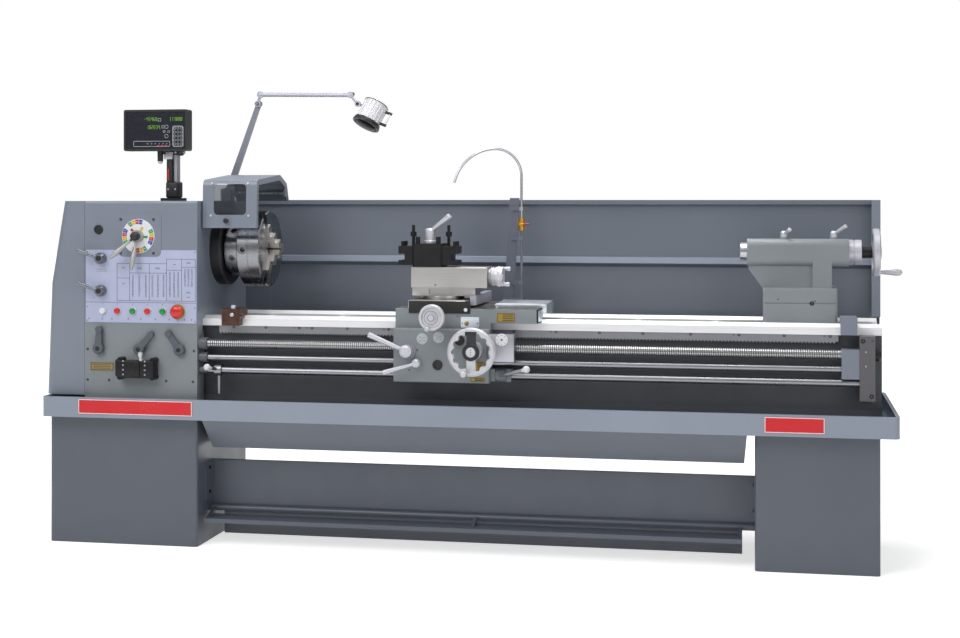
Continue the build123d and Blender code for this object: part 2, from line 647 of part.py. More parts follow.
def feed_gearbox():
    """The feed gearbox casting below the headstock front, with bores for the three rods."""
    x = HEAD_X
    low = TRAY_Z + TRAY_SHEET
    body = box(x, (HEAD_Y[0], FRONT_WALL_Y - BED_FLANGE[0]), (low, SEAM_Z - WAY_DEPTH))
    body += box(x, (HEAD_Y[0], FRONT_WAY_Y[0]), (low, SEAM_Z))
    body += box((x[0], x[0] + GEARBOX_PLATE), (HEAD_Y[0], GEARBOX_PLATE_BACK), (BED_LOW + 30, SEAM_Z))
    for z, radius in (LEADSCREW, FEED_ROD, CONTROL_ROD):
        body -= rod((ROD_X[0] - 5, ROD_Y, z), (x[1] + 1, ROD_Y, z), radius + SHAFT_GAP)
    feed = gear_line()[1]
    body -= rod((x[0] - 1, *feed), (x[0] + 34, *feed), FEED_SHAFT_R + SHAFT_GAP)
    for px, z, _ in FEED_SELECTORS:
        body -= rod((px, HEAD_Y[0] - 1, z), (px, HEAD_Y[0] + 24, z), 9 + SHAFT_GAP)
    return body


# Spindle, gears and belts

def spindle_bearings():
    """Two bearing rings in the headstock and the black cover in front of the nose bearing."""
    rings = []
    for x in (HEAD_X[0], HEAD_X[1] - BEARING_LENGTH):
        ring = rod((x, 0, AXIS_Z), (x + BEARING_LENGTH, 0, AXIS_Z), BEARING_R)
        rings.append(ring - rod((x - 1, 0, AXIS_Z), (x + BEARING_LENGTH + 1, 0, AXIS_Z), SPINDLE_R + SHAFT_GAP))
    depth = BEARING_COVER_X - HEAD_X[1]
    bore = SPINDLE_R + 1
    cover = turned([(0, bore), (0, BEARING_COVER_R), (depth - 6, BEARING_COVER_R),
                    (depth, BEARING_COVER_R - 6), (depth, bore)], (HEAD_X[1], 0, AXIS_Z), (1, 0, 0))
    return group(*rings, cover)


def gear(teeth, width, bore, phase):
    """A spur gear on the X axis at the origin; phase is the angle of one tooth's middle."""
    pitch_r = MODULE * teeth / 2
    half = (pi * MODULE / 2 - BACKLASH) / 2
    points = []
    for i in range(teeth):
        middle = radians(phase) + 2 * pi * i / teeth
        for radius, thick, side in ((pitch_r - 1.2 * MODULE, half + 0.4 * MODULE, -1),
                                    (pitch_r + MODULE, half - 0.42 * MODULE, -1),
                                    (pitch_r + MODULE, half - 0.42 * MODULE, 1),
                                    (pitch_r - 1.2 * MODULE, half + 0.4 * MODULE, 1)):
            angle = middle + side * thick / radius
            points.append((0, radius * cos(angle), radius * sin(angle)))
    return prism(points, (width, 0, 0)) - rod((-1, 0, 0), (width + 1, 0, 0), bore)


def at_shaft(shape, x, place):
    return Pos(x, place[0], place[1]) * shape


def spindle():
    """The hollow spindle, its cam-lock nose and the gear on its tail."""
    tail, nose, face = SPINDLE_TAIL_X, NOSE_X[0], NOSE_X[1]
    bore = SPINDLE_BORE_R
    outline = [(tail, bore), (tail, SPINDLE_TAIL_R), (HEAD_X[0] - 12, SPINDLE_TAIL_R),
               (HEAD_X[0] - 12, SPINDLE_R), (nose, SPINDLE_R), (nose, NOSE_R - 4), (nose + 4, NOSE_R),
               (face, NOSE_R), (face, bore)]
    body = turned(outline, (0, 0, AXIS_Z), (1, 0, 0))
    middle = (nose + face) / 2
    for i in range(6):
        angle = radians(CAM_ANGLE + 60 * i)
        out = (0, -cos(angle), sin(angle))
        start = [middle, out[1] * (NOSE_R - CAM_DEPTH), AXIS_Z + out[2] * (NOSE_R - CAM_DEPTH)]
        end = [middle, out[1] * (NOSE_R + 5), AXIS_Z + out[2] * (NOSE_R + 5)]
        body -= rod(start, end, CAM_R)
    line = gear_line()[2]
    wheel = gear(SPINDLE_TEETH, GEAR_X[1] - GEAR_X[0], SPINDLE_TAIL_R - 1, line)
    return body + at_shaft(wheel, GEAR_X[0], (0, AXIS_Z))


def idler_gear():
    """The wide idler between spindle and feed shaft, with five lightening holes."""
    idler, _, line = gear_line()
    wheel = gear(IDLER_TEETH, GEAR_X[1] - GEAR_X[0], IDLER_STUD_R + SHAFT_GAP, line + 180.0 / IDLER_TEETH)
    for i in range(5):
        angle = 2 * pi * i / 5
        y, z = 78 * cos(angle), 78 * sin(angle)
        wheel -= rod((-1, y, z), (GEAR_X[1] - GEAR_X[0] + 1, y, z), 26)
    return at_shaft(wheel, GEAR_X[0], idler)


def feed_gear():
    _, feed, line = gear_line()
    wheel = gear(FEED_TEETH, GEAR_X[1] - GEAR_X[0], FEED_SHAFT_R - 1, line)
    shaft = rod((0, 0, 0), (HEAD_X[0] + 30 - GEAR_X[0], 0, 0), FEED_SHAFT_R)
    return at_shaft(wheel + shaft, GEAR_X[0], feed)


def pulley(groove_r, shaft_end):
    """A grooved pulley at the origin with its shaft towards +X."""
    width = BELT_COUNT * BELT_PITCH
    outer = groove_r + BELT_THICK + PULLEY_FLANGE
    margin = (BELT_PITCH - BELT_WIDTH) / 2 - 0.5
    outline = [(0, 0), (0, outer)]
    for i in range(BELT_COUNT):
        start = i * BELT_PITCH
        outline += [(start + margin, outer), (start + margin, groove_r),
                    (start + BELT_PITCH - margin, groove_r), (start + BELT_PITCH - margin, outer)]
    outline += [(width, outer), (width, DRIVE_SHAFT_R), (shaft_end, DRIVE_SHAFT_R), (shaft_end, 0)]
    return turned(outline, (0, 0, 0), (1, 0, 0))


def input_pulley():
    y, z, radius = INPUT_PULLEY
    return Pos(BELT_START_X, y, z) * pulley(radius, HEAD_X[0] + HEAD_WALL - 6 - BELT_START_X)


def motor_pulley():
    y, z, radius = MOTOR_PULLEY
    return Pos(BELT_START_X, y, z) * pulley(radius, MOTOR_X[0] + 40 - BELT_START_X)


def drive_belts():
    """Three belts round the motor pulley and the headstock pulley."""
    def loop(x, grow):
        circles = [Pos(y, z) * Circle(radius + SLIDE_GAP + grow) for y, z, radius in (INPUT_PULLEY, MOTOR_PULLEY)]
        hull = make_hull([edge for c in circles for edge in c.edges()])
        return extrude(Plane.YZ.offset(x) * hull, amount=BELT_WIDTH)
    belts = []
    for i in range(BELT_COUNT):
        x = BELT_START_X + i * BELT_PITCH + (BELT_PITCH - BELT_WIDTH) / 2
        belts.append(loop(x, BELT_THICK) - loop(x, 0))
    return group(*belts)


def motor():
    """The main motor on its foot, inside the left cabinet."""
    y, z, _ = MOTOR_PULLEY
    left, right = MOTOR_X
    barrel = turned([(0, 0), (0, 70), (18, MOTOR_R - 12), (18, MOTOR_R), (right - left - 60, MOTOR_R),
                     (right - left - 60, MOTOR_R - 6), (right - left, MOTOR_R - 20), (right - left, 0)],
                    (left, y, z), (1, 0, 0))
    foot = box((left + 60, right - 100), (y - 100, y + 100), (CABINET_SHEET, CABINET_SHEET + 16))
    saddle = box((left + 80, right - 120), (y - 70, y + 70), (CABINET_SHEET + 15, z - 60))
    terminal = box((left + 90, left + 210), (y - 50, y + 50), (z + 80, z + MOTOR_R + 34))
    hole = rod((left - 1, y, z), (left + 44, y, z), DRIVE_SHAFT_R + SHAFT_GAP)
    return barrel + foot + saddle + terminal - hole


# Chuck

def turn_jaw(shape, angle):
    """Turns a piece drawn along -Y round the spindle axis."""
    return Pos(0, 0, AXIS_Z) * Rot(-angle, 0, 0) * shape


def chuck_body():
    """A three-jaw chuck body with jaw slots, key sockets and the seam between its halves."""
    back = NOSE_X[1]
    face = back + CHUCK_LENGTH
    seam = back + CHUCK_LENGTH * 0.47
    radius = CHUCK_R
    outline = [(back, CHUCK_BORE_R), (back, radius - 3), (back + 3, radius), (seam, radius),
               (seam, radius - 2), (seam + 3, radius - 2), (seam + 3, radius), (face - 4, radius),
               (face, radius - 4), (face, CHUCK_BORE_R)]
    body = turned(outline, (0, 0, AXIS_Z), (1, 0, 0))
    out, thick = JAW_TONGUE
    middle = face - JAW_SLOT_DEPTH / 2
    for angle in JAW_ANGLES:
        slot = box((face - JAW_SLOT_DEPTH, face + 1), (-radius - 5, 0), (-JAW_WIDTH / 2, JAW_WIDTH / 2))
        slot += box((middle - thick / 2, middle + thick / 2), (-radius - 5, 0),
                    (-JAW_WIDTH / 2 - out, JAW_WIDTH / 2 + out))
        body -= turn_jaw(slot, angle)
        key_x = back + CHUCK_LENGTH * 0.27
        socket = rod((key_x, -radius - 5, 0), (key_x, -radius + 34, 0), KEY_SOCKET_R)
        rim = rod((key_x, -radius - 5, 0), (key_x, -radius + 3, 0), KEY_BOSS_R)
        body -= turn_jaw(socket + rim, angle + 180)
    return body


def jaw(angle):
    """A stepped jaw with tongues that run in the chuck's slot."""
    face = NOSE_X[1] + CHUCK_LENGTH
    gap = SLIDE_GAP
    inner, outer = JAW_RADIAL
    step, drop = JAW_STEP
    half = JAW_WIDTH / 2 - gap
    top = face + JAW_HEIGHT
    outline = [(face - JAW_SLOT_DEPTH + gap, inner), (top, inner), (top, inner + step),
               (top - drop, inner + step), (top - drop, inner + 2 * step),
               (top - 2 * drop, inner + 2 * step), (top - 2 * drop, outer),
               (face - JAW_SLOT_DEPTH + gap, outer)]
    body = prism([(x, -r, -half) for x, r in outline], (0, 0, 2 * half))
    out, thick = JAW_TONGUE
    middle = face - JAW_SLOT_DEPTH / 2
    tongue = box((middle - thick / 2 + gap, middle + thick / 2 - gap), (-outer, -inner - 14),
                 (-half - out + gap, half + out - gap))
    nib = prism([(face - JAW_SLOT_DEPTH, 0, -half - 9), (face + 60, 0, -half - 9), (face + 60, 0, half + 9),
                 (face - JAW_SLOT_DEPTH, 0, half + 9)], (0, -1, 0))
    point = prism([(face - 40, 0, 0), (face - 40, 0, half + 1), (face - 40, -inner - (half + 1) * 0.5, half + 1),
                   (face - 40, -inner, 0)], (120, 0, 0))
    return turn_jaw(body + tongue - nib - point - mirror(point, Plane.XY), angle)


def chuck_guard():
    """The bent sheet guard over the chuck, with a window and two ears on the guard bar."""
    corners = [GUARD_FRONT_LOW, GUARD_FRONT_TOP, GUARD_CROWN, GUARD_BACK_TOP, GUARD_BACK_LOW]
    low = GUARD_FRONT_LOW[1] - 120
    loop = [(GUARD_FRONT_LOW[0] - 4, low)] + corners + [(GUARD_BACK_LOW[0], low)]
    face = make_face(Polyline(*loop, close=True))
    bends = [v for v in face.vertices() if v.Y > GUARD_BACK_LOW[1] + 1]
    face = fillet(bends, 26)
    length = GUARD_X[1] - GUARD_X[0]
    plane = Plane.YZ.offset(GUARD_X[0])
    whole = extrude(plane * face, amount=length)
    inside = extrude(plane * offset(face, -GUARD_SHEET), amount=length)
    band = extrude(plane * offset(face, -GUARD_BAND), amount=length)
    middle = box((GUARD_X[0] + GUARD_SHEET, GUARD_X[1] - GUARD_SHEET), (-900, 900), (0, 3000))
    sheet = whole - (inside & middle) - band
    y, z, radius = GUARD_BAR
    ear = box((GUARD_X[0], GUARD_X[1]), (y - 16, y + 14), (z - 16, z + 24))
    ear -= box((GUARD_X[0] + 8, GUARD_X[1] - 8), (y - 20, y + 20), (z - 20, z + 30))
    sheet += ear & whole
    sheet -= rod((GUARD_X[0] - 1, y, z), (GUARD_X[1] + 1, y, z), radius + SHAFT_GAP)
    sheet -= box((GUARD_X[0] - 1, GUARD_X[1] + 1), (-400, -100), (0, GUARD_FRONT_LOW[1]))
    sheet -= box((GUARD_X[0] - 1, GUARD_X[1] + 1), (-101, 400), (0, GUARD_BACK_LOW[1]))
    left, right, down, up = GUARD_WINDOW
    window = box((left, right), (-300, -150), (down, up))
    window = fillet(window.edges().filter_by(Axis.Y), 16)
    sheet -= window
    margin = 12
    slope = (GUARD_FRONT_TOP[0] - GUARD_FRONT_LOW[0]) / (GUARD_FRONT_TOP[1] - GUARD_FRONT_LOW[1])

    def front(z_at):
        return GUARD_FRONT_LOW[0] + slope * (z_at - GUARD_FRONT_LOW[1]) + GUARD_SHEET
    a, b = down - margin, up + margin - 14
    pane = prism([(left - margin, front(a), a), (left - margin, front(b), b),
                  (left - margin, front(b) + 3, b), (left - margin, front(a) + 3, a)],
                 (right - left + 2 * margin, 0, 0))
    return group(sheet, pane)


# Rods

def leadscrew():
    z, radius = LEADSCREW
    screw = rod((ROD_X[0], ROD_Y, z), (BRACKET_X[1] + 22, ROD_Y, z), radius)
    collar = rod((ROD_COLLAR_X[0], ROD_Y, z), (ROD_COLLAR_X[1], ROD_Y, z), ROD_COLLAR_R)
    nut = turned([(0, radius - 1), (0, END_NUT_R), (14, END_NUT_R), (18, END_NUT_R - 4), (18, radius - 1)],
                 (BRACKET_X[1] + 1, ROD_Y, z), (1, 0, 0))
    return screw + collar + nut


def feed_rod():
    """The keyed feed rod."""
    z, radius = FEED_ROD
    body = rod((ROD_X[0], ROD_Y, z), (ROD_X[1], ROD_Y, z), radius)
    body += rod((ROD_COLLAR_X[0], ROD_Y, z), (ROD_COLLAR_X[1], ROD_Y, z), ROD_COLLAR_R - 4)
    key = box((ROD_COLLAR_X[1] + 10, BRACKET_X[0] - 80), (ROD_Y - 3, ROD_Y + 3), (z + radius - 4, z + radius + 1))
    return body - key


def control_rod():
    """The start and stop rod, with its ball lever and link at the headstock end."""
    z, radius = CONTROL_ROD
    body = rod((ROD_X[0], ROD_Y, z), (ROD_X[1], ROD_Y, z), radius)
    x = CONTROL_ARM_X
    body += rod((x, ROD_Y, z), (x + 26, ROD_Y, z), radius + 9)
    body += rod((x + 13, ROD_Y, z), (x + 13, ROD_Y, z - 92), 7)
    tip = (x - 14, ROD_Y - 62, z + 16)
    return body + rod((x + 13, ROD_Y - 8, z + 2), tip, 6) + ball(tip, 13)


def control_lever():
    """The carriage lever: a collar that turns with the control rod, an arm and a ball."""
    z, radius = CONTROL_ROD
    left = APRON_X[1] + LEVER_CHEEK[0] + SLIDE_GAP
    right = LEVER_CHEEK[1] - LEVER_CHEEK[0] - SLIDE_GAP
    collar = rod((left, ROD_Y, z), (right, ROD_Y, z), radius + 10)
    tip = (right + 86, ROD_Y - 84, z + 34)
    arm = rod((left + 16, ROD_Y - radius - 4, z + 2), tip, 7)
    bore = rod((left - 1, ROD_Y, z), (right + 1, ROD_Y, z), radius + SLIDE_GAP)
    return collar + arm + ball(tip, 14) - bore


def rod_bracket():
    """The bearing block for the rods at the right end, with the feed stop block beside it."""
    y = (BRACKET_FRONT, FRONT_WALL_Y)
    body = box(BRACKET_X, y, (BRACKET_Z[0], WAY_Z - WAY_DEPTH))
    body += box(BRACKET_X, (y[0], FRONT_WAY_Y[0]), (BRACKET_Z[0], BRACKET_Z[1]))
    body += box((ROD_BLOCK_X, BRACKET_X[0]), (BRACKET_FRONT + 4, ROD_Y + 26), ROD_BLOCK_Z)
    for z, radius in (LEADSCREW, FEED_ROD, CONTROL_ROD):
        body -= rod((ROD_BLOCK_X - 1, ROD_Y, z), (BRACKET_X[1] + 1, ROD_Y, z), radius + SHAFT_GAP)
    return body


def bed_fittings():
    """The rod bracket, the clamped micrometer stop at the left and the stop block at the right end."""
    blocks = []
    for x in (STOP_LEFT_X, STOP_RIGHT_X):
        outline = [(STOP_FRONT, STOP_Z[0] - 2), (FRONT_WAY_Y[0], STOP_Z[0] - 2), (FRONT_WAY_Y[0], WAY_Z),
                   (FRONT_V_Y - V_HALF, WAY_Z), (FRONT_V_Y, WAY_Z + V_HEIGHT), (FRONT_V_Y + V_HALF, WAY_Z),
                   (FRONT_WING_BACK - 8, WAY_Z), (FRONT_WING_BACK - 8, STOP_Z[1]), (STOP_FRONT, STOP_Z[1])]
        blocks.append(bar_x(outline, x))
    y, z = (STOP_FRONT + FRONT_WAY_Y[0]) / 2 - 8, STOP_Z[1] - 20
    screw = rod((STOP_LEFT_X[1], y, z), (STOP_LEFT_X[1] + 12, y, z), 8)
    blocks[0] += screw
    return group(rod_bracket(), *blocks)


# Carriage

def saddle():
    """The H-shaped saddle with its dovetail for the cross slide."""
    gap = SLIDE_GAP
    low = WAY_Z + gap
    bridge_low = WAY_Z + V_HEIGHT + 4
    front = box(SADDLE_X, (SADDLE_FRONT, FRONT_WING_BACK), (low, SADDLE_TOP))
    rear = box(SADDLE_X, (REAR_WING_FRONT, SADDLE_BACK), (low, SADDLE_TOP))
    bridge = box(BRIDGE_X, (FRONT_WING_BACK - 1, REAR_WING_FRONT + 1), (bridge_low, SADDLE_TOP))
    corners = (front + rear + bridge).edges().filter_by(Axis.Z)
    inner = [e for e in corners if abs(e.center().X - BRIDGE_X[0]) < 1 or abs(e.center().X - BRIDGE_X[1]) < 1]
    body = fillet(inner, 24)
    body += box(APRON_X, (SADDLE_FRONT, APRON_Y[1]), (APRON_Z[1], low))
    body -= bar_x([(FRONT_V_Y - V_HALF - gap, WAY_Z), (FRONT_V_Y - V_HALF - gap, low),
                   (FRONT_V_Y, WAY_Z + V_HEIGHT + 2 * gap), (FRONT_V_Y + V_HALF + gap, low),
                   (FRONT_V_Y + V_HALF + gap, WAY_Z)], (SADDLE_X[0] - 1, SADDLE_X[1] + 1))
    body += dovetail(SLIDE_X[0], (SADDLE_FRONT, SADDLE_BACK), "Y", DOVETAIL, SADDLE_TOP - 0.01)
    x, z = CROSS_WHEEL
    body -= rod((x, SADDLE_FRONT - 1, z), (x, SADDLE_FRONT + 50, z), 10 + SHAFT_GAP)
    return body


def apron():
    """The apron gear case, bored for the rods, with the thread dial case and lever cheeks."""
    body = box(APRON_X, APRON_Y, APRON_Z)
    body = fillet(body.faces().filter_by(Axis.Y).sort_by(Axis.Y)[0].edges(), 6)
    body += box((APRON_X[1] - 1, DIAL_BOX_X), (APRON_Y[0] - 10, ROD_Y - LEADSCREW[1] - 4), DIAL_BOX_Z)
    z, radius = CONTROL_ROD
    thick, right = LEVER_CHEEK
    rib = box((APRON_X[1] - 1, right), (ROD_Y + 25, APRON_Y[1] + 12), (z - 20, z + 26))
    body += rib
    for x in (APRON_X[1] - 1, right - thick):
        body += box((x, x + thick), (ROD_Y - 20, ROD_Y + 26), (z - 20, z + 26))
    for (hub_x, hub_z), boss_r in ((HALFNUT_LEVER, 33), (FEED_LEVER, 20), (CARRIAGE_WHEEL, 40)):
        body += rod((hub_x, APRON_Y[0] + 1, hub_z), (hub_x, APRON_Y[0] - 8, hub_z), boss_r)
    for z, radius in (LEADSCREW, FEED_ROD, CONTROL_ROD):
        body -= rod((APRON_X[0] - 1, ROD_Y, z), (DIAL_BOX_X + 1, ROD_Y, z), radius + ROD_BORE_GAP)
    for (hub_x, hub_z), shaft_r in ((HALFNUT_LEVER, 12), (FEED_LEVER, 9), (CARRIAGE_WHEEL, 15)):
        body -= rod((hub_x, APRON_Y[0] - 9, hub_z), (hub_x, APRON_Y[0] + 22, hub_z), shaft_r + SHAFT_GAP)
    return body


def carriage_wheel():
    """The large handwheel: a rim with finger scallops, two spokes, hub, shaft and handle."""
    x, z = CARRIAGE_WHEEL
    front = CARRIAGE_WHEEL_Y
    radius = CARRIAGE_WHEEL_R
    rim = turned([(0, radius - 22), (3, radius - 25), (19, radius - 25), (22, radius - 22), (22, radius - 6),
                  (16, radius), (6, radius), (0, radius - 6)], (x, front, z), (0, 1, 0))
    for i in range(13):
        angle = 2 * pi * (i + 0.5) / 13
        cx, cz = x + (radius - 27) * cos(angle), z + (radius - 27) * sin(angle)
        rim -= rod((cx, front - 1, cz), (cx, front + 23, cz), 11)
    dish = turned([(6, 24), (6, radius - 22), (12, radius - 22), (18, 24)], (x, front, z), (0, 1, 0))
    spokes = box((x - 17, x + 17), (front, front + 22), (z - radius + 10, z + radius - 10))
    hub = turned([(-6, 0), (-6, 20), (0, 25), (40, 25), (40, 33), (84, 33), (84, 15), (118, 15), (118, 0)],
                 (x, front, z), (0, 1, 0))
    angle = radians(257)
    hx, hz = x + (radius - 13) * cos(angle), z + (radius - 13) * sin(angle)
    grip = turned([(0, 0), (0, 8), (-10, 9), (-50, 13), (-62, 11), (-66, 5), (-66, 0)], (hx, front + 2, hz), (0, 1, 0))
    return rim + (spokes & dish_body(x, z, front, radius)) + hub + grip


def dish_body(x, z, front, radius):
    """The slightly hollow disc that limits the spokes' thickness."""
    return turned([(0, 0), (4, radius - 16), (14, radius - 16), (20, 0)], (x, front, z), (0, 1, 0))


def cross_wheel():
    """The dished cross-slide handwheel with its graduated collar and shaft."""
    x, z = CROSS_WHEEL
    front = CROSS_WHEEL_Y
    radius = CROSS_WHEEL_R
    body = turned([(-8, 0), (-8, 14), (6, 16), (8, radius - 14), (0, radius - 10), (0, radius - 3), (5, radius),
                   (15, radius), (20, radius - 4), (24, 20), (46, 20), (50, 30), (92, 30), (92, 12),
                   (140, 12), (140, 10), (180, 10), (180, 0)], (x, front, z), (0, 1, 0))
    hx, hz = x - 10, z - radius + 9
    grip = turned([(8, 0), (8, 6), (-8, 6), (-34, 9), (-40, 4), (-40, 0)], (hx, front, hz), (0, 1, 0))
    return body + grip


def halfnut_lever():
    x, z = HALFNUT_LEVER
    face = APRON_Y[0] - 8 - SLIDE_GAP
    hub = turned([(-36, 0), (-36, 15), (-30, 23), (0, 23), (0, 12), (26, 12), (26, 0)], (x, face, z), (0, 1, 0))
    tip = (x - 138, face - 46, z + 63)
    return hub + lever_arm((x, face - 18, z), tip, 6.5, 10.5)


def feed_lever():
    x, z = FEED_LEVER
    face = APRON_Y[0] - 8 - SLIDE_GAP
    hub = turned([(-22, 0), (-22, 12), (-18, 16), (0, 16), (0, 9), (26, 9), (26, 0)], (x, face, z), (0, 1, 0))
    tip = (x - 118, face - 48, z - 34)
    return hub + lever_arm((x, face - 14, z), tip, 5.5, 9.5)


def cross_slide():
    """The cross slide, grooved for the saddle's dovetail and bored for the swivel pin."""
    middle, half = SLIDE_X
    gap = SLIDE_GAP
    body = box((middle - half, middle + half), SLIDE_Y, (SADDLE_TOP + gap, SLIDE_TOP))
    body = chamfer(body.faces().sort_by(Axis.Z)[-1].edges(), 2)
    groove = dovetail(middle, (SLIDE_Y[0] - 1, SLIDE_Y[1] + 1), "Y", DOVETAIL, SADDLE_TOP, gap)
    pin = rod((*SWIVEL_CENTRE, SADDLE_TOP + DOVETAIL[2]), (*SWIVEL_CENTRE, SLIDE_TOP + 1), SWIVEL_PIN_R + SHAFT_GAP)
    return body - groove - pin


def compound_base():
    """The swivel base of the compound with its top dovetail."""
    x, y = SWIVEL_CENTRE
    low = SLIDE_TOP + SLIDE_GAP
    ring = rod((x, y, low), (x, y, low + SWIVEL_THICK), SWIVEL_R)
    pin = rod((x, y, SADDLE_TOP + DOVETAIL[2] + 2 * SLIDE_GAP), (x, y, low + 1), SWIVEL_PIN_R)
    base = box(COMPOUND_X, (y - COMPOUND_HALF, y + COMPOUND_HALF), (low + SWIVEL_THICK - 0.01, COMPOUND_Z))
    pocket_y = (y - COMPOUND_HALF - 1, y - COMPOUND_HALF + 8)
    base -= box((x - 46, x + 56), pocket_y, (low + SWIVEL_THICK + 6, COMPOUND_Z - 6))
    tail = dovetail(y, COMPOUND_X, "X", SMALL_DOVETAIL, COMPOUND_Z - 0.01)
    return ring + pin + base + tail


def top_slide():
    """The compound's top slide, with its screw boss on the right."""
    y = SWIVEL_CENTRE[1]
    gap = SLIDE_GAP
    half = TOP_SLIDE_HALF
    body = box(TOP_SLIDE_X, (y - half, y + half), (COMPOUND_Z + gap, TOP_SLIDE_TOP))
    body = chamfer(body.faces().sort_by(Axis.Z)[-1].edges(), 2)
    body -= dovetail(y, (TOP_SLIDE_X[0] - 1, TOP_SLIDE_X[1] + 1), "X", SMALL_DOVETAIL, COMPOUND_Z, gap)
    bore = TOP_SLIDE_X[1] - CRANK_SHAFT_LENGTH - 4
    body -= rod((bore, y, CRANK_Z), (TOP_SLIDE_X[1] + 1, y, CRANK_Z), CRANK_SHAFT_R + SHAFT_GAP)
    stud = rod((*POST_CENTRE, TOP_SLIDE_TOP - 1), (*POST_CENTRE, TOP_SLIDE_TOP + POST_BLOCK[1] + 20), 14)
    return body + stud


def top_crank():
    """The compound's dial and ball crank."""
    y = SWIVEL_CENTRE[1]
    dial = turned([(-CRANK_SHAFT_LENGTH, 0), (-CRANK_SHAFT_LENGTH, CRANK_SHAFT_R), (SLIDE_GAP, CRANK_SHAFT_R), (SLIDE_GAP, CRANK_DIAL_R),
                   (22, CRANK_DIAL_R), (22, 16), (34, 16), (34, CRANK_R), (44, CRANK_R - 3), (44, 14), (52, 10),
                   (52, 0)], (TOP_SLIDE_X[1], y, CRANK_Z), (1, 0, 0))
    x = TOP_SLIDE_X[1] + 42
    for side in (-1, 1):
        dy, dz = side * (CRANK_R - 9) * cos(radians(70)), side * (CRANK_R - 9) * sin(radians(70))
        dial += turned([(0, 0), (0, 6), (6, 6), (30, 9), (36, 7), (38, 0)], (x, y + dy, CRANK_Z + dz), (1, 0, 0))
    return dial


def tool_post():
    """The tool post block and its two tool holders, each with a slot for a tool."""
    x, y = POST_CENTRE
    half, height = POST_BLOCK
    low = TOP_SLIDE_TOP
    block = box((x - half, x + half), (y - half, y + half), (low, low + height))
    block = chamfer(block.edges().filter_by(Axis.Z), 6)
    block -= rod((x, y, low - 1), (x, y, low + height + 1), 14.5)
    length, width, tall = HOLDER
    pieces = [block]
    for side in (-1, 1):
        start, end = sorted((x + side * half, x + side * (half + length)))
        holder = box((start, end), (y - width / 2, y + width / 2), (low + 8, low + 8 + tall))
        slot_x = sorted((x + side * (half + length + 1), x + side * (half + length - HOLDER_SLOT)))
        holder -= box(slot_x, (y - width, y + width), (low + 26, low + 26 + HOLDER_SLOT))
        screw_x = x + side * (half + length - HOLDER_SLOT / 2)
        for shift in (-30, 0, 30):
            holder += rod((screw_x, y + shift, low + 40 + tall / 2), (screw_x, y + shift, low + tall + 26), 6)
        stud_x = x + side * (half + 12)
        holder += rod((stud_x, y + 18, low + tall), (stud_x, y + 18, low + height + 70), 6)
        holder += rod((stud_x, y + 18, low + height + 26), (stud_x, y + 18, low + height + 44), 12)
        pieces.append(holder)
    for dx in (-40, 40):
        pieces.append(rod((x + dx, y - 36, low + height), (x + dx, y - 36, low + height + 26), 9))
    return group(*pieces)


def tool_post_lever():
    """The clamping handle on top of the tool post."""
    x, y = POST_CENTRE
    low = TOP_SLIDE_TOP + POST_BLOCK[1] + SLIDE_GAP
    hub = turned([(0, 14 + SLIDE_GAP), (0, 24), (8, 24), (12, 20), (50, 20), (58, 12), (58, 0), (24, 0),
                  (24, 14 + SLIDE_GAP)], (x, y, low), (0, 0, 1))
    tip = (x + 84, y - 30, low + 106)
    return hub + lever_arm((x, y, low + 44), tip, 7, 11)


def coolant_pipe():
    """The bent coolant pipe, its valve and the flat post that carries it."""
    x, y = PIPE_XY
    run, side = PIPE_TIP_X - x, PIPE_TIP_Y - y
    length = hypot(run, side)
    ux, uy = run / length, side / length

    def at(s, z):
        return (x + ux * s, y + uy * s, z)
    top = PIPE_STRAIGHT_TOP
    a, b = PIPE_ARC_RISE, PIPE_ARC_FALL
    h = sqrt(0.5)
    turn = asin(min(0.97, (length - a) / b))
    path = Line(at(0, SADDLE_TOP), at(0, top))
    path += ThreePointArc(at(0, top), at(a - a * h, top + a * h), at(a, top + a))
    path += ThreePointArc(at(a, top + a), at(a + b * sin(turn / 2), top + a - b + b * cos(turn / 2)),
                          at(a + b * sin(turn), top + a - b + b * cos(turn)))
    start = Plane(origin=at(0, SADDLE_TOP), z_dir=(0, 0, 1))
    pipe = sweep(start * Circle(PIPE_R), path=path)
    foot, head, width, thick = POST_BAR
    back = y + PIPE_R
    post = plate_y([(foot - width / 2, SADDLE_TOP), (foot + width / 2, SADDLE_TOP),
                    (head + width / 2, POST_BAR_TOP), (head - width / 2, POST_BAR_TOP)], (back - 6, back - 6 + thick))
    valve = rod((x, y, 1222), (x, y, 1272), 12) + rod((x, y - 24, 1248), (x, y, 1248), 8)
    tap = rod((x, y - 22, 1248), (x + 34, y - 22, 1248), 4)
    clips = Part()
    for z in (1010, 1190, 1310):
        clips += box((head - 10, x + 8), (y - 8, back), (z - 8, z + 8))
    base = box((foot - 26, x + 16), (y - 14, back), (SADDLE_TOP, SADDLE_TOP + 14))
    return pipe + post + valve + tap + clips + base


# Tailstock

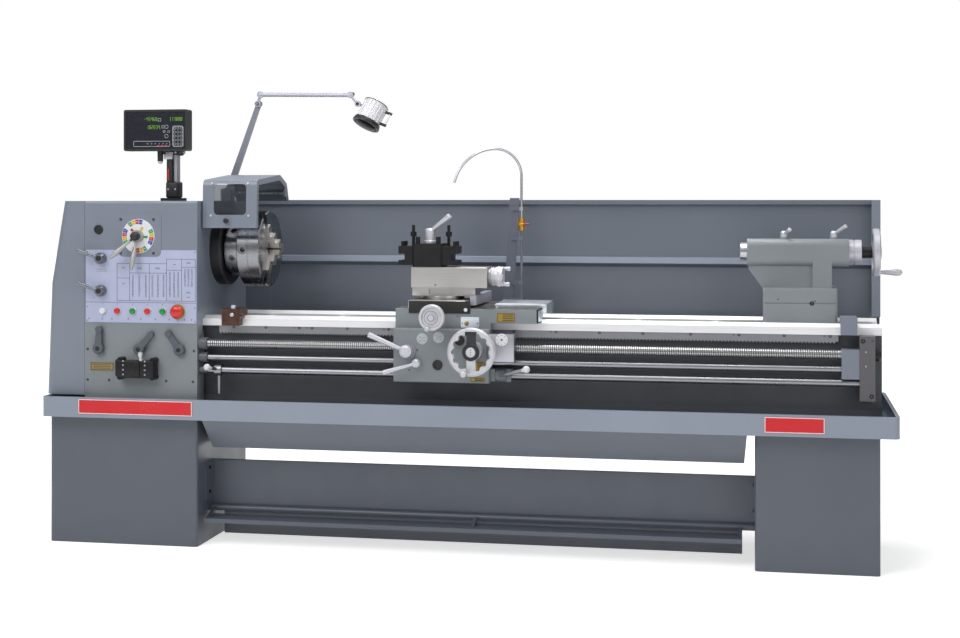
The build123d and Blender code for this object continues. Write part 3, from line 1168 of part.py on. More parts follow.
def tailstock():
    """The tailstock casting: base on the inner ways, sloping web, leg and rounded barrel."""
    gap = SLIDE_GAP
    low = WAY_Z + gap
    base = box(TAIL_X, TAIL_Y, (low, TAIL_BASE_TOP))
    base = fillet(base.edges().filter_by(Axis.Z), 10)
    groove_in = 3
    base -= box((TAIL_X[0] - 1, TAIL_X[1] + 1), (TAIL_Y[0] - 1, TAIL_Y[0] + groove_in), (TAIL_PARTING_Z, TAIL_PARTING_Z + 3))
    base -= bar_x([(REAR_V_Y - V_HALF - gap, WAY_Z), (REAR_V_Y - V_HALF - gap, low),
                   (REAR_V_Y, WAY_Z + V_HEIGHT + 2 * gap), (REAR_V_Y + V_HALF + gap, low),
                   (REAR_V_Y + V_HALF + gap, WAY_Z)], (TAIL_X[0] - 1, TAIL_X[1] + 1))
    barrel = box(BARREL_X, (-BARREL_HALF, BARREL_HALF), BARREL_Z)
    barrel = round_x(barrel, BARREL_ROUND)
    web = plate_y([(BARREL_X[0] + 5, BARREL_Z[0] + 20), (BARREL_X[0] + 5, BARREL_Z[0] - 10),
                   (TAIL_X[0] - 4, TAIL_BASE_TOP), (TAIL_X[0] + 2, TAIL_BASE_TOP - 6), (TAIL_LEG_X[1], TAIL_BASE_TOP - 6),
                   (TAIL_LEG_X[1], BARREL_Z[0] + 20)], (-38, 38))
    leg = box(TAIL_LEG_X, (-BARREL_HALF, BARREL_HALF), (TAIL_BASE_TOP - 6, BARREL_Z[0] + 30))
    body = base + web + leg + barrel
    body -= rod((BARREL_X[0] - 1, 0, AXIS_Z), (QUILL_X[1] + 20, 0, AXIS_Z), QUILL_R + SHAFT_GAP)
    body -= rod((QUILL_X[1], 0, AXIS_Z), (BARREL_X[1] + 1, 0, AXIS_Z), TAIL_SHAFT_R + SHAFT_GAP)
    for x, y in (QUILL_LEVER, TAIL_CLAMP):
        body += rod((x, y, BARREL_Z[1] - 4), (x, y, BARREL_Z[1] + 6), 16)
        body -= rod((x, y, BARREL_Z[1] - 12), (x, y, BARREL_Z[1] + 7), 8 + SHAFT_GAP)
    return body


def quill():
    """The tailstock quill with its tapered socket."""
    left, right = QUILL_X
    wide, narrow, depth = QUILL_TAPER
    outline = [(left, wide), (left, QUILL_R - 2), (left + 2, QUILL_R), (right, QUILL_R), (right, 0),
               (left + depth, 0), (left + depth, narrow)]
    return turned(outline, (0, 0, AXIS_Z), (1, 0, 0))


def tail_wheel():
    """The tailstock handwheel with its graduated collar, shaft and crank handle."""
    left, right = TAIL_WHEEL_X
    start = BARREL_X[1] + SLIDE_GAP
    radius = TAIL_WHEEL_R
    outline = [(QUILL_X[1] + 30, 0), (QUILL_X[1] + 30, TAIL_SHAFT_R), (start, TAIL_SHAFT_R), (start, TAIL_COLLAR_R),
               (TAIL_COLLAR_X, TAIL_COLLAR_R), (TAIL_COLLAR_X, 22), (left, 22), (left, 26), (left + 8, radius - 22),
               (left, radius - 16), (left, radius - 4), (left + 4, radius), (right - 4, radius), (right, radius - 4),
               (right, radius - 16), (right - 10, radius - 22), (right - 4, 26), (right + 6, 22), (right + 6, 0)]
    body = turned(outline, (0, 0, AXIS_Z), (1, 0, 0))
    drop, length = TAIL_HANDLE
    grip = turned([(-8, 0), (-8, 7), (0, 7), (14, 8), (length - 22, 13), (length - 8, 12), (length, 6), (length, 0)],
                  (right, 0, AXIS_Z - drop), (1, 0, 0))
    return body + grip


def clamp_lever(place, tip):
    """A small clamping handle that turns on an upright pin in the barrel's top."""
    x, y = place
    low = BARREL_Z[1] + 6 + SLIDE_GAP
    hub = turned([(-16, 0), (-16, 8), (0, 8), (0, 13), (18, 13), (24, 8), (24, 0)], (x, y, low), (0, 0, 1))
    end = (x + tip[0], y + tip[1], low + tip[2])
    return hub + lever_arm((x, y, low + 12), end, 5, 7.5)


# Guards

def splash_guard():
    """The long back guard: folded top lip, stiffening rib, right wing and lower sheet."""
    sheet = SPLASH_SHEET
    front = SPLASH_BACK - sheet
    low = TRAY_Z + TRAY_SHEET
    top = SPLASH_TOP
    body = box(SPLASH_X, (front, SPLASH_BACK), (SPLASH_SKIRT[1] - 30, top))
    out, tall = SPLASH_LIP
    body += box(SPLASH_X, (front - out, front + 1), (top - sheet, top))
    body += box(SPLASH_X, (front - out, front - out + sheet), (top - tall, top))
    a, b, c = SPLASH_RIB_Z
    rib = [(front + 1, c), (front - SPLASH_RIB_OUT, c - 4), (front - SPLASH_RIB_OUT, b), (front + 1, a)]
    body += bar_x(rib, (SPLASH_X[0], SPLASH_X[1] - sheet))
    body += box((SPLASH_X[1] - sheet, SPLASH_X[1]), (SPLASH_WING_FRONT, SPLASH_BACK), (SPLASH_SKIRT[1] - 30, top))
    right, high = SPLASH_SKIRT
    skirt = [(SPLASH_X[0], low), (right - 4, low), (right - 4, high - 26), (right - 30, high), (SPLASH_X[0], high)]
    return body + plate_y(skirt, (SPLASH_BACK, SPLASH_BACK + sheet))


# Panel pieces, levers and buttons

def rounded_plate(edges, y, radius):
    left, right, low, high = edges
    plate = box((left, right), y, (low, high))
    return fillet(plate.edges().filter_by(Axis.Y), radius)


def button(x, z, radius):
    y = HEAD_Y[0] - PLATE_THICK
    return turned([(0, 0), (0, radius + 4), (-4, radius + 4), (-6, radius), (-12, radius), (-14, radius - 3), (-14, 0)],
                  (x, y, z), (0, 1, 0))


def control_panel():
    """The plates, push buttons, pilot lamp, sight plug and tumbler box on the front."""
    front = HEAD_Y[0]
    plates = [rounded_plate(SPEED_PLATE, (front - PLATE_THICK, front), 20),
              rounded_plate(LEGEND_PLATE, (front - PLATE_THICK, front), 6),
              rounded_plate(BRASS_PLATE, (front - 1.5, front), 3)]
    plates += [rounded_plate(edges, (TRAY_Y[0] - 1.5, TRAY_Y[0]), 4) for edges in RIM_PLATES]
    x, z, radius = SPEED_DISC
    hole = rod((x, front - 10, z), (x, front + 1, z), 12 + SHAFT_GAP)
    disc = rod((x, front - PLATE_THICK - 3, z), (x, front - PLATE_THICK, z), radius) - hole
    plates[0] -= hole
    stem = rod((STOP_BUTTON_X, front - 20, BUTTON_Z), (STOP_BUTTON_X, front + 1, BUTTON_Z), STOP_STEM_R + SHAFT_GAP)
    for hub_x, hub_z in HEAD_LEVERS:
        plates[1] -= rod((hub_x, front - 10, hub_z), (hub_x, front + 1, hub_z), 10 + SHAFT_GAP)
    plates[1] -= stem
    ring = rod((STOP_BUTTON_X, front - PLATE_THICK - 4, BUTTON_Z), (STOP_BUTTON_X, front - PLATE_THICK, BUTTON_Z),
               STOP_BUTTON_R + 5) - stem
    buttons = [button(bx, BUTTON_Z, BUTTON_R) for bx in BUTTON_X]
    x, z, radius = SIGHT_PLUG
    plug = turned([(0, 0), (0, radius), (-6, radius - 2), (-6, 0)], (x, front, z), (0, 1, 0))
    left, right, low, high = TUMBLER
    case = plate_y([(left, low), (right, low), (right, high - 22), (right - 26, high - 22), (right - 26, high),
                    (left + 60, high), (left + 60, high - 10), (left, high - 10)], (front - TUMBLER_OUT, front))
    knob_x = left + 0.66 * (right - left)
    case += turned([(0, 0), (0, 8), (14, 8), (14, 12), (34, 12), (38, 7), (38, 0)],
                   (knob_x, front - TUMBLER_OUT + 12, high - 23), (0, 0, 1))
    return group(*plates, disc, ring, *buttons, plug, case)


def stop_button():
    y = HEAD_Y[0] - PLATE_THICK - 4 - STOP_TRAVEL - 2
    radius = STOP_BUTTON_R
    return turned([(30, 0), (30, STOP_STEM_R), (0, STOP_STEM_R), (0, radius), (-8, radius), (-14, radius - 6),
                   (-17, radius - 14), (-17, 0)], (STOP_BUTTON_X, y, BUTTON_Z), (0, 1, 0))


def speed_lever(layer, reach):
    """One of the two speed levers on the dial; layer 0 is nearest the dial."""
    x, z, _ = SPEED_DISC
    face = HEAD_Y[0] - PLATE_THICK - 3 - SLIDE_GAP
    pitch = 18.0
    y = face - layer * (pitch + SLIDE_GAP)
    hub_r, shaft_r = ((24, 12), (17, 7))[layer]
    hub = rod((x, y, z), (x, y - pitch, z), hub_r) + rod((x, y - 1, z), (x, HEAD_Y[0] + 24, z), shaft_r)
    start = (x, y - pitch / 2, z)
    tip = (x + reach[0], y - pitch / 2 - 30, z + reach[1])
    body = hub + spindle_grip(start, tip, 5, 10)
    if layer == 0:
        body -= rod((x, y - pitch - 1, z), (x, HEAD_Y[0] + 25, z), 7 + SHAFT_GAP)
    return body


def head_lever(place):
    x, z = place
    y = HEAD_Y[0] - PLATE_THICK - SLIDE_GAP
    hub = turned([(HEAD_Y[0] + 24 - y, 0), (HEAD_Y[0] + 24 - y, 10), (0, 10), (0, 22), (-20, 22), (-30, 16), (-30, 0)],
                 (x, y, z), (0, 1, 0))
    start = (x, y - 18, z)
    tip = (x + HEAD_LEVER_REACH[0], y - 46, z + HEAD_LEVER_REACH[1])
    return hub + lever_arm(start, tip, 6, 9)


def feed_selector(x, z, angle):
    """A flat-arm selector lever; angle is measured clockwise from straight up."""
    y = HEAD_Y[0] - SLIDE_GAP
    hub = turned([(22, 0), (22, 9), (0, 9), (0, 21), (-18, 21), (-22, 17), (-22, 0)], (0, 0, 0), (0, 1, 0))
    length = SELECTOR_LENGTH
    arm = plate_y([(-15, 0), (-10, length - 6), (10, length - 6), (15, 0)], (-18, -8))
    arm += rod((0, -8, length - 8), (0, -22, length - 8), 13)
    return Pos(x, y, z) * Rot(0, angle, 0) * (hub + arm)


# Readout and lamp

def dro_display():
    """The readout case with a recessed face and two tilt lugs behind."""
    body = box(READOUT_X, READOUT_Y, READOUT_Z)
    body = fillet(body.edges().filter_by(Axis.Y), 8)
    inset = 9.0
    body -= box((READOUT_X[0] + inset, READOUT_X[1] - inset), (READOUT_Y[0] - 1, READOUT_Y[0] + 3),
                (READOUT_Z[0] + inset, READOUT_Z[1] - inset))
    x, y, width = READOUT_POST
    for side in (-1, 1):
        near, far = sorted((x + side * (width / 2 + 6), x + side * (width / 2 + 18)))
        lug = box((near, far), (READOUT_Y[1] - 1, y), (READOUT_PIVOT_Z - 10, READOUT_PIVOT_Z + 22))
        lug += rod((near, y, READOUT_PIVOT_Z), (far, y, READOUT_PIVOT_Z), 15)
        body += lug - rod((near - 1, y, READOUT_PIVOT_Z), (far + 1, y, READOUT_PIVOT_Z), 8 + SHAFT_GAP)
    return body


def lamp_arm_lower():
    """The swivelling turret and the flat arm up to the elbow."""
    x, y = LAMP_BASE_X, LAMP_Y
    low = HEAD_TOP + 20 + SLIDE_GAP
    turret = rod((x, y, low), (x, y, low + 34), 22)
    ex, ez = LAMP_ELBOW
    way = atan2(ez - low - 20, ex - x)
    nx, nz = -sin(way) * 15, cos(way) * 15
    bar = plate_y([(x + nx, low + 20 + nz), (x - nx, low + 20 - nz), (ex - nx * 0.7, ez - nz * 0.7),
                   (ex + nx * 0.7, ez + nz * 0.7)], (y - 5, y + 5))
    eye = rod((ex, y - 5, ez), (ex, y + 5, ez), 14)
    pin = rod((ex, y - 26, ez), (ex, y - 4, ez), LAMP_ELBOW_PIN_R)
    return turret + bar + eye + pin


def joint_disc(x, y, z, radius):
    """A round joint of the lamp arm, turned about a pin along Y."""
    return rod((x, y - LAMP_EYE_HALF, z), (x, y + LAMP_EYE_HALF, z), radius)


def lamp_arm_upper():
    """The short elbow link, the level tube between two joint discs and the knuckle eye."""
    y = LAMP_Y - LAMP_LINK_SHIFT
    ex, ez = LAMP_ELBOW
    left, right, tube_z = LAMP_TUBE
    kx, kz = LAMP_KNUCKLE
    far_z = tube_z - LAMP_TUBE_DROP
    arm = rod((left, y, tube_z), (right, y, far_z), LAMP_TUBE_R)
    arm += rod((ex, y, ez), (left, y, tube_z), LAMP_LINK_R) + rod((right, y, far_z), (kx, y, kz), LAMP_LINK_R)
    for x, z in ((left, tube_z), (right, far_z)):
        arm += joint_disc(x, y, z, LAMP_EYE_R + 1)
    for x, z, pin_r in ((ex, ez, LAMP_ELBOW_PIN_R), (kx, kz, LAMP_KNUCKLE_PIN_R)):
        arm += joint_disc(x, y, z, LAMP_EYE_R)
        arm -= rod((x, y - LAMP_EYE_HALF - 1, z), (x, y + LAMP_EYE_HALF + 1, z), pin_r + SHAFT_GAP)
    return arm


def lamp_head():
    """The fluted lamp head: an open shell with reflector and bulb, its knuckle pin and its handle."""
    aim = Vector(*LAMP_AIM).normalized()
    start = Vector(*LAMP_FACE) - aim * LAMP_LENGTH
    radius, length, wall = LAMP_R, LAMP_LENGTH, LAMP_WALL
    rim, out = LAMP_RIM
    seat = length * 0.45
    outline = [(0, 0), (0, radius - 8), (8, radius), (length - rim, radius), (length - rim, radius + out),
               (length, radius + out), (length, radius - wall), (length - rim, radius - wall),
               (length - 2 * rim, radius - 2 * wall), (seat, radius / 2), (seat, 0)]
    shell = turned(outline, tuple(start), tuple(aim))
    right = (Vector(1, 0, 0) - aim * aim.X).normalized()
    back = aim.cross(right)
    flute_r, depth = LAMP_FLUTE
    for i in range(LAMP_FLUTES):
        angle = 2 * pi * (i + 0.5) / LAMP_FLUTES
        side = (right * cos(angle) + back * sin(angle)) * (radius + flute_r - depth)
        shell -= rod(tuple(start + side + aim * 14), tuple(start + side + aim * (length - rim - 4)), flute_r)
    bulb_r = LAMP_BULB_R
    shell += turned([(seat - 1, 0), (seat - 1, bulb_r - 4), (seat + 18, bulb_r), (seat + 32, bulb_r - 6),
                     (seat + 36, 0)], tuple(start), tuple(aim))
    kx, kz = LAMP_KNUCKLE
    y = LAMP_Y - LAMP_LINK_SHIFT
    shell += rod((kx, y - 12, kz), (kx, y + 26, kz), LAMP_KNUCKLE_PIN_R) + rod((kx, y + 20, kz), (kx, y + 30, kz), 10)
    shell += rod((kx, y + 25, kz), tuple(start + aim * 24), 7)
    bar_r, off = LAMP_HANDLE
    ends = [start + aim * s + right * (radius + off) for s in (26, length - 24)]
    for end in ends:
        shell += rod(tuple(end - right * (off + 2)), tuple(end + right * (bar_r + 1)), bar_r + 1)
    return shell + rod(tuple(ends[0]), tuple(ends[1]), bar_r)


NODES = {
    "left_cabinet": lambda: cabinet(CABINET_LEFT, belt_slot=True),
    "right_cabinet": lambda: cabinet(CABINET_RIGHT),
    "chip_tray": chip_tray,
    "front_panel": kick_panel,
    "foot_pedal": foot_pedal,
    "bed": bed,
    "rack": rack,
    "headstock": headstock,
    "end_cover": end_cover,
    "feed_gearbox": feed_gearbox,
    "spindle_bearings": spindle_bearings,
    "spindle": spindle,
    "idler_gear": idler_gear,
    "feed_gear": feed_gear,
    "input_pulley": input_pulley,
    "motor_pulley": motor_pulley,
    "drive_belts": drive_belts,
    "motor": motor,
    "chuck_body": chuck_body,
    "chuck_jaw_1": lambda: jaw(JAW_ANGLES[0]),
    "chuck_jaw_2": lambda: jaw(JAW_ANGLES[1]),
    "chuck_jaw_3": lambda: jaw(JAW_ANGLES[2]),
    "chuck_guard": chuck_guard,
    "leadscrew": leadscrew,
    "feed_rod": feed_rod,
    "control_rod": control_rod,
    "control_lever": control_lever,
    "bed_fittings": bed_fittings,
    "saddle": saddle,
    "apron": apron,
    "carriage_wheel": carriage_wheel,
    "cross_wheel": cross_wheel,
    "halfnut_lever": halfnut_lever,
    "feed_lever": feed_lever,
    "cross_slide": cross_slide,
    "compound_base": compound_base,
    "top_slide": top_slide,
    "top_crank": top_crank,
    "tool_post": tool_post,
    "tool_post_lever": tool_post_lever,
    "coolant_pipe": coolant_pipe,
    "tailstock": tailstock,
    "quill": quill,
    "tail_wheel": tail_wheel,
    "quill_lever": lambda: clamp_lever(QUILL_LEVER, (22, -48, 30)),
    "tail_clamp_lever": lambda: clamp_lever(TAIL_CLAMP, (44, -38, 44)),
    "splash_guard": splash_guard,
    "control_panel": control_panel,
    "stop_button": stop_button,
    "speed_lever_long": lambda: speed_lever(0, (-12, -130)),
    "speed_lever_short": lambda: speed_lever(1, (-92, -86)),
    "range_lever": lambda: head_lever(HEAD_LEVERS[0]),
    "reverse_lever": lambda: head_lever(HEAD_LEVERS[1]),
    "feed_selector_1": lambda: feed_selector(*FEED_SELECTORS[0]),
    "feed_selector_2": lambda: feed_selector(*FEED_SELECTORS[1]),
    "feed_selector_3": lambda: feed_selector(*FEED_SELECTORS[2]),
    "dro_display": dro_display,
    "lamp_arm_lower": lamp_arm_lower,
    "lamp_arm_upper": lamp_arm_upper,
    "lamp_head": lamp_head,
}

os.makedirs("parts", exist_ok=True)
for name, make in NODES.items():
    shape = make()
    export_step(Pos(0, AXIS_BACK, 0) * shape, f"parts/{name}.step")
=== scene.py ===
"""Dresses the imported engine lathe: enamel, ground ways, plates, dials, readout, lamp and stage.

The shapes below are drawn in millimetres from the machine's own datum: X along the bed,
Y back from the spindle axis, Z up from the floor. finish_piece() brings them into the frame.
"""
from collections import namedtuple
from math import cos, pi, radians, sin

import bmesh
import bpy
from bpy.props import FloatProperty, FloatVectorProperty, PointerProperty
from mathutils import Matrix, Vector


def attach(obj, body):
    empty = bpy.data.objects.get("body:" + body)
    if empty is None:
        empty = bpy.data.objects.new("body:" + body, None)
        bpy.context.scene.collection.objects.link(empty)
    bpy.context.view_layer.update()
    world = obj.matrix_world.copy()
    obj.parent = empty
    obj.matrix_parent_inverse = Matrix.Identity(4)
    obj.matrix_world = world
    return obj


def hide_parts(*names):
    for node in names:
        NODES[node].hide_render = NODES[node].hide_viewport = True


bl_info = {
    "name": "Engine lathe looks",
    "version": (1, 0, 0),
    "blender": (4, 5, 0),
    "location": "3D View > Sidebar > Lathe",
    "description": "Finishes and small parts for a manual engine lathe",
    "category": "Object",
}

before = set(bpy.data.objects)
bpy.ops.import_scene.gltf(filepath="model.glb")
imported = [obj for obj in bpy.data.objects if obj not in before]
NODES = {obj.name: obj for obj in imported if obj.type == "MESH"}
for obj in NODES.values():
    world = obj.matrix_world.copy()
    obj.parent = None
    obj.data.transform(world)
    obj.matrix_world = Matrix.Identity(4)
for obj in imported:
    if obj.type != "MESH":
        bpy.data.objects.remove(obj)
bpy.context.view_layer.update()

# Datum values that the small parts are placed by, in millimetres
BACK = 36.0              # the spindle axis lies this far behind the frame's middle
AXIS_Z = 1149.0
WAY_LOW = 855.3          # underside of the ground ways
FRONT = -277.0           # front face of the headstock and gearbox
TRAY_FRONT = -340.0
RACK_FRONT = -208.0
APRON_FRONT = -300.0
SADDLE_FRONT = -262.0
DISPLAY_FRONT = -150.0
SCREW_Y, SCREW_Z = -250.0, 788.0         # the leadscrew's axis
SCREW_CREST = 17.5                       # radius over the thread
LAMP_FACE = (-480, 214, 1657)            # middle of the lamp's open end
LAMP_AIM = (-0.37, -0.36, -0.86)
LAMP_LENGTH = 105

# The photograph's viewpoint: place in metres, turn in degrees, lens in millimetres
VIEW_PLACE = (1.156, -5.939, 1.345)
VIEW_TURN = 10.6
VIEW_LENS, VIEW_SHIFT = 58.1, -0.124


# Colours, layers and materials

def linear(code):
    """An sRGB hex colour as the linear values that shaders take."""
    parts = [int(code[i:i + 2], 16) / 255 for i in (1, 3, 5)]
    return tuple(p / 12.92 if p <= 0.04045 else ((p + 0.055) / 1.055) ** 2.4 for p in parts) + (1.0,)


def tint(colour, share):
    return tuple(min(1.0, c * share) for c in colour[:3]) + (1.0,)


def add(tree, kind, sockets=None, **settings):
    """Adds a node with its settings, and links or sets its sockets."""
    node = tree.nodes.new(kind)
    for name, value in settings.items():
        setattr(node, name, value)
    for name, value in (sockets or {}).items():
        if isinstance(value, bpy.types.NodeSocket):
            tree.links.new(value, node.inputs[name])
        else:
            node.inputs[name].default_value = value
    return node


Layer = namedtuple("Layer", "colour rough metal height")     # height is in millimetres


def shifted(tree, xyz, scale):
    """Object coordinates times a number of cells per metre along each axis."""
    return add(tree, "ShaderNodeVectorMath", {0: xyz, 1: scale}, operation="MULTIPLY").outputs[0]


def marks(tree, where, low, high, detail=2.0):
    """A noise between two values, one cell to a unit of where."""
    field = add(tree, "ShaderNodeTexNoise", {"Vector": where, "Scale": 1.0, "Detail": detail}).outputs["Fac"]
    return add(tree, "ShaderNodeMapRange", {"Value": field, "From Min": 0.3, "From Max": 0.7,
                                            "To Min": low, "To Max": high}).outputs[0]


def toned(tree, factor, colour, low, high):
    """A colour that drifts between a darker and a lighter tone of itself."""
    return add(tree, "ShaderNodeMix", {0: factor, 6: tint(colour, low), 7: tint(colour, high)},
               data_type="RGBA").outputs[2]


def cells(*sizes_mm):
    return tuple(1000.0 / s for s in (sizes_mm * 3 if len(sizes_mm) == 1 else sizes_mm))


def enamel(tree, xyz, colour, rough=0.36, peel=7.0, wave=0.0):
    """Sprayed enamel: an even film with orange peel, a slow drift in shade and a few dull patches."""
    drift = marks(tree, shifted(tree, xyz, cells(380.0)), 0.0, 1.0, 3.0)
    dull = marks(tree, shifted(tree, xyz, cells(90.0)), rough - 0.05, rough + 0.08, 3.0)
    height = marks(tree, shifted(tree, xyz, cells(peel)), 0.0, 0.02)
    if wave:
        filler = marks(tree, shifted(tree, xyz, cells(55.0)), 0.0, wave)
        height = add(tree, "ShaderNodeMath", {0: height, 1: filler}, operation="ADD").outputs[0]
    return Layer(toned(tree, drift, colour, 0.95, 1.04), dull, 0.0, height)


def ground(tree, xyz, colour, along="X", rough=0.3):
    """Ground steel or iron: fine straight marks, far longer than they are wide."""
    size = {"X": (160.0, 2.4, 2.4), "Y": (2.4, 160.0, 2.4), "Z": (2.4, 2.4, 160.0)}[along]
    line = marks(tree, shifted(tree, xyz, cells(*size)), 0.0, 1.0)
    cloud = marks(tree, shifted(tree, xyz, cells(70.0)), rough - 0.05, rough + 0.07, 3.0)
    height = add(tree, "ShaderNodeMath", {0: line, 1: 0.003}, operation="MULTIPLY").outputs[0]
    return Layer(toned(tree, line, colour, 0.93, 1.04), cloud, 1.0, height)


def turned(tree, xyz, colour, axis="X", centre=(0.0, 0.0, AXIS_Z), rough=0.27):
    """Lathe-turned metal: rings round the piece's own axis, from a fine feed."""
    middle = (centre[0] / 1000, (centre[1] + BACK) / 1000, centre[2] / 1000)
    local = add(tree, "ShaderNodeVectorMath", {0: xyz, 1: middle}, operation="SUBTRACT").outputs[0]
    keep = {"X": (0.0, 1.0, 1.0), "Y": (1.0, 0.0, 1.0), "Z": (1.0, 1.0, 0.0)}[axis]
    flat = add(tree, "ShaderNodeVectorMath", {0: local, 1: keep}, operation="MULTIPLY").outputs[0]
    radius = add(tree, "ShaderNodeVectorMath", {0: flat}, operation="LENGTH").outputs["Value"]
    run = add(tree, "ShaderNodeSeparateXYZ", {0: local}).outputs[axis]
    pair = add(tree, "ShaderNodeCombineXYZ", {0: run, 1: radius}).outputs[0]
    ring = marks(tree, shifted(tree, pair, cells(1.8)), 0.0, 1.0)
    cloud = marks(tree, shifted(tree, xyz, cells(45.0)), rough - 0.02, rough + 0.03, 3.0)
    height = add(tree, "ShaderNodeMath", {0: ring, 1: 0.0006}, operation="MULTIPLY").outputs[0]
    return Layer(toned(tree, ring, colour, 0.95, 1.03), cloud, 1.0, height)


def satin(tree, xyz, colour, rough=0.38, metal=0.35):
    """Satin plate or blasted aluminium: even and bright, with soft highlights and no drawn marks."""
    cloud = marks(tree, shifted(tree, xyz, cells(30.0)), 0.0, 1.0, 3.0)
    dull = marks(tree, shifted(tree, xyz, cells(14.0)), rough - 0.03, rough + 0.04)
    return Layer(toned(tree, cloud, colour, 0.96, 1.03), dull, metal,
                 marks(tree, shifted(tree, xyz, cells(12.0)), 0.0, 0.004))


def blacked(tree, xyz, colour, rough=0.42):
    """Chemically blacked steel: near black with faint brown-grey clouds and a dull sheen."""
    cloud = marks(tree, shifted(tree, xyz, cells(28.0)), 0.0, 1.0, 4.0)
    dull = marks(tree, shifted(tree, xyz, cells(12.0)), rough - 0.06, rough + 0.08)
    return Layer(toned(tree, cloud, colour, 0.8, 1.35), dull, 0.55,
                 marks(tree, shifted(tree, xyz, cells(3.0)), 0.0, 0.012))


def moulded(tree, xyz, colour, rough=0.4, grain=2.0):
    """Moulded plastic or printed film: one even colour with a fine leather or film grain."""
    cloud = marks(tree, shifted(tree, xyz, cells(60.0)), 0.0, 1.0, 2.0)
    dull = marks(tree, shifted(tree, xyz, cells(9.0)), rough - 0.03, rough + 0.05)
    return Layer(toned(tree, cloud, colour, 0.97, 1.03), dull, 0.0,
                 marks(tree, shifted(tree, xyz, cells(grain)), 0.0, 0.01))


def inside(tree, xyz, x, y, z):
    """1 in a block given by three (low, high) pairs in machine millimetres, else 0."""
    middle = ((x[0] + x[1]) / 2000, ((y[0] + y[1]) / 2 + BACK) / 1000, (z[0] + z[1]) / 2000)
    half = ((x[1] - x[0]) / 2000, (y[1] - y[0]) / 2000, (z[1] - z[0]) / 2000)
    local = add(tree, "ShaderNodeVectorMath", {0: xyz, 1: middle}, operation="SUBTRACT").outputs[0]
    size = add(tree, "ShaderNodeVectorMath", {0: local}, operation="ABSOLUTE").outputs[0]
    over_by = add(tree, "ShaderNodeVectorMath", {0: size, 1: half}, operation="SUBTRACT").outputs[0]
    parts = add(tree, "ShaderNodeSeparateXYZ", {0: over_by}).outputs
    most = add(tree, "ShaderNodeMath", {0: parts[0], 1: parts[1]}, operation="MAXIMUM").outputs[0]
    most = add(tree, "ShaderNodeMath", {0: most, 1: parts[2]}, operation="MAXIMUM").outputs[0]
    return add(tree, "ShaderNodeMath", {0: most, 1: 0.0}, operation="LESS_THAN").outputs[0]


def over(tree, mask, top, under):
    """One layer laid over another where the mask is 1."""
    colour = add(tree, "ShaderNodeMix", {0: mask, 6: under.colour, 7: top.colour},
                 data_type="RGBA").outputs[2]
    rest = [add(tree, "ShaderNodeMix", {0: mask, 2: getattr(under, part), 3: getattr(top, part)},
                data_type="FLOAT").outputs[0] for part in ("rough", "metal", "height")]
    return Layer(colour, *rest)


def surface(name, build, **sockets):
    """A material from a layer, with further shader sockets set straight on the shader."""
    material = bpy.data.materials.new(name)
    material.use_nodes = True
    tree = material.node_tree
    tree.nodes.clear()
    xyz = add(tree, "ShaderNodeTexCoord").outputs["Object"]
    layer = build(tree, xyz)
    bump = add(tree, "ShaderNodeBump", {"Height": layer.height, "Distance": 0.001})
    fixed = {key.replace("_", " "): value for key, value in sockets.items()}
    shader = add(tree, "ShaderNodeBsdfPrincipled", {
        "Base Color": layer.colour, "Roughness": layer.rough, "Metallic": layer.metal,
        "Normal": bump.outputs[0], **fixed})
    add(tree, "ShaderNodeOutputMaterial", {"Surface": shader.outputs[0]})
    return material


FINISH = {}
WIDE = (-9000.0, 9000.0)

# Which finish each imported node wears
NODE_FINISH = {
    "left_cabinet": "cabinet_enamel", "right_cabinet": "cabinet_enamel", "front_panel": "cabinet_enamel",
    "foot_pedal": "cabinet_enamel", "chip_tray": "tray_enamel", "end_cover": "machine_enamel",
    "headstock": "headstock_enamel", "feed_gearbox": "cast_enamel", "tailstock": "cast_enamel",
    "saddle": "saddle_finish", "apron": "apron_finish", "bed": "bed_finish", "rack": "rack_steel",
    "bed_fittings": "fittings_finish", "splash_guard": "guard_enamel", "motor": "cast_enamel",
    "spindle_bearings": "black_enamel", "spindle": "chuck_steel", "chuck_body": "chuck_steel",
    "chuck_jaw_1": "jaw_steel", "chuck_jaw_2": "jaw_steel", "chuck_jaw_3": "jaw_steel",
    "idler_gear": "oiled_steel", "feed_gear": "oiled_steel", "input_pulley": "black_enamel",
    "motor_pulley": "black_enamel", "drive_belts": "belt_rubber", "feed_rod": "rod_steel",
    "control_rod": "control_rod_finish", "control_lever": "control_lever_finish",
    "carriage_wheel": "wheel_finish", "cross_wheel": "wheel_chrome", "halfnut_lever": "satin_chrome",
    "feed_lever": "satin_chrome", "cross_slide": "ground_iron", "compound_base": "ground_iron",
    "top_slide": "ground_iron", "top_crank": "crank_steel", "tool_post": "black_oxide",
    "tool_post_lever": "satin_chrome", "coolant_pipe": "coolant_finish", "quill": "turned_steel",
    "tail_wheel": "tail_wheel_finish", "quill_lever": "satin_chrome", "tail_clamp_lever": "satin_chrome",
    "stop_button": "red_plastic", "speed_lever_long": "lever_aluminium", "speed_lever_short": "hub_lever",
    "range_lever": "dark_chrome", "reverse_lever": "dark_chrome", "feed_selector_1": "selector_enamel",
    "feed_selector_2": "selector_enamel", "feed_selector_3": "selector_enamel",
    "dro_display": "black_plastic", "lamp_arm_lower": "lamp_strut", "lamp_arm_upper": "lamp_aluminium",
    "lamp_head": "lamp_shell",
}


# Castings and blocks whose edges are broken, so that they catch the light
ROUNDED = ("tailstock", "saddle", "apron", "top_slide", "cross_slide", "compound_base", "feed_gearbox")


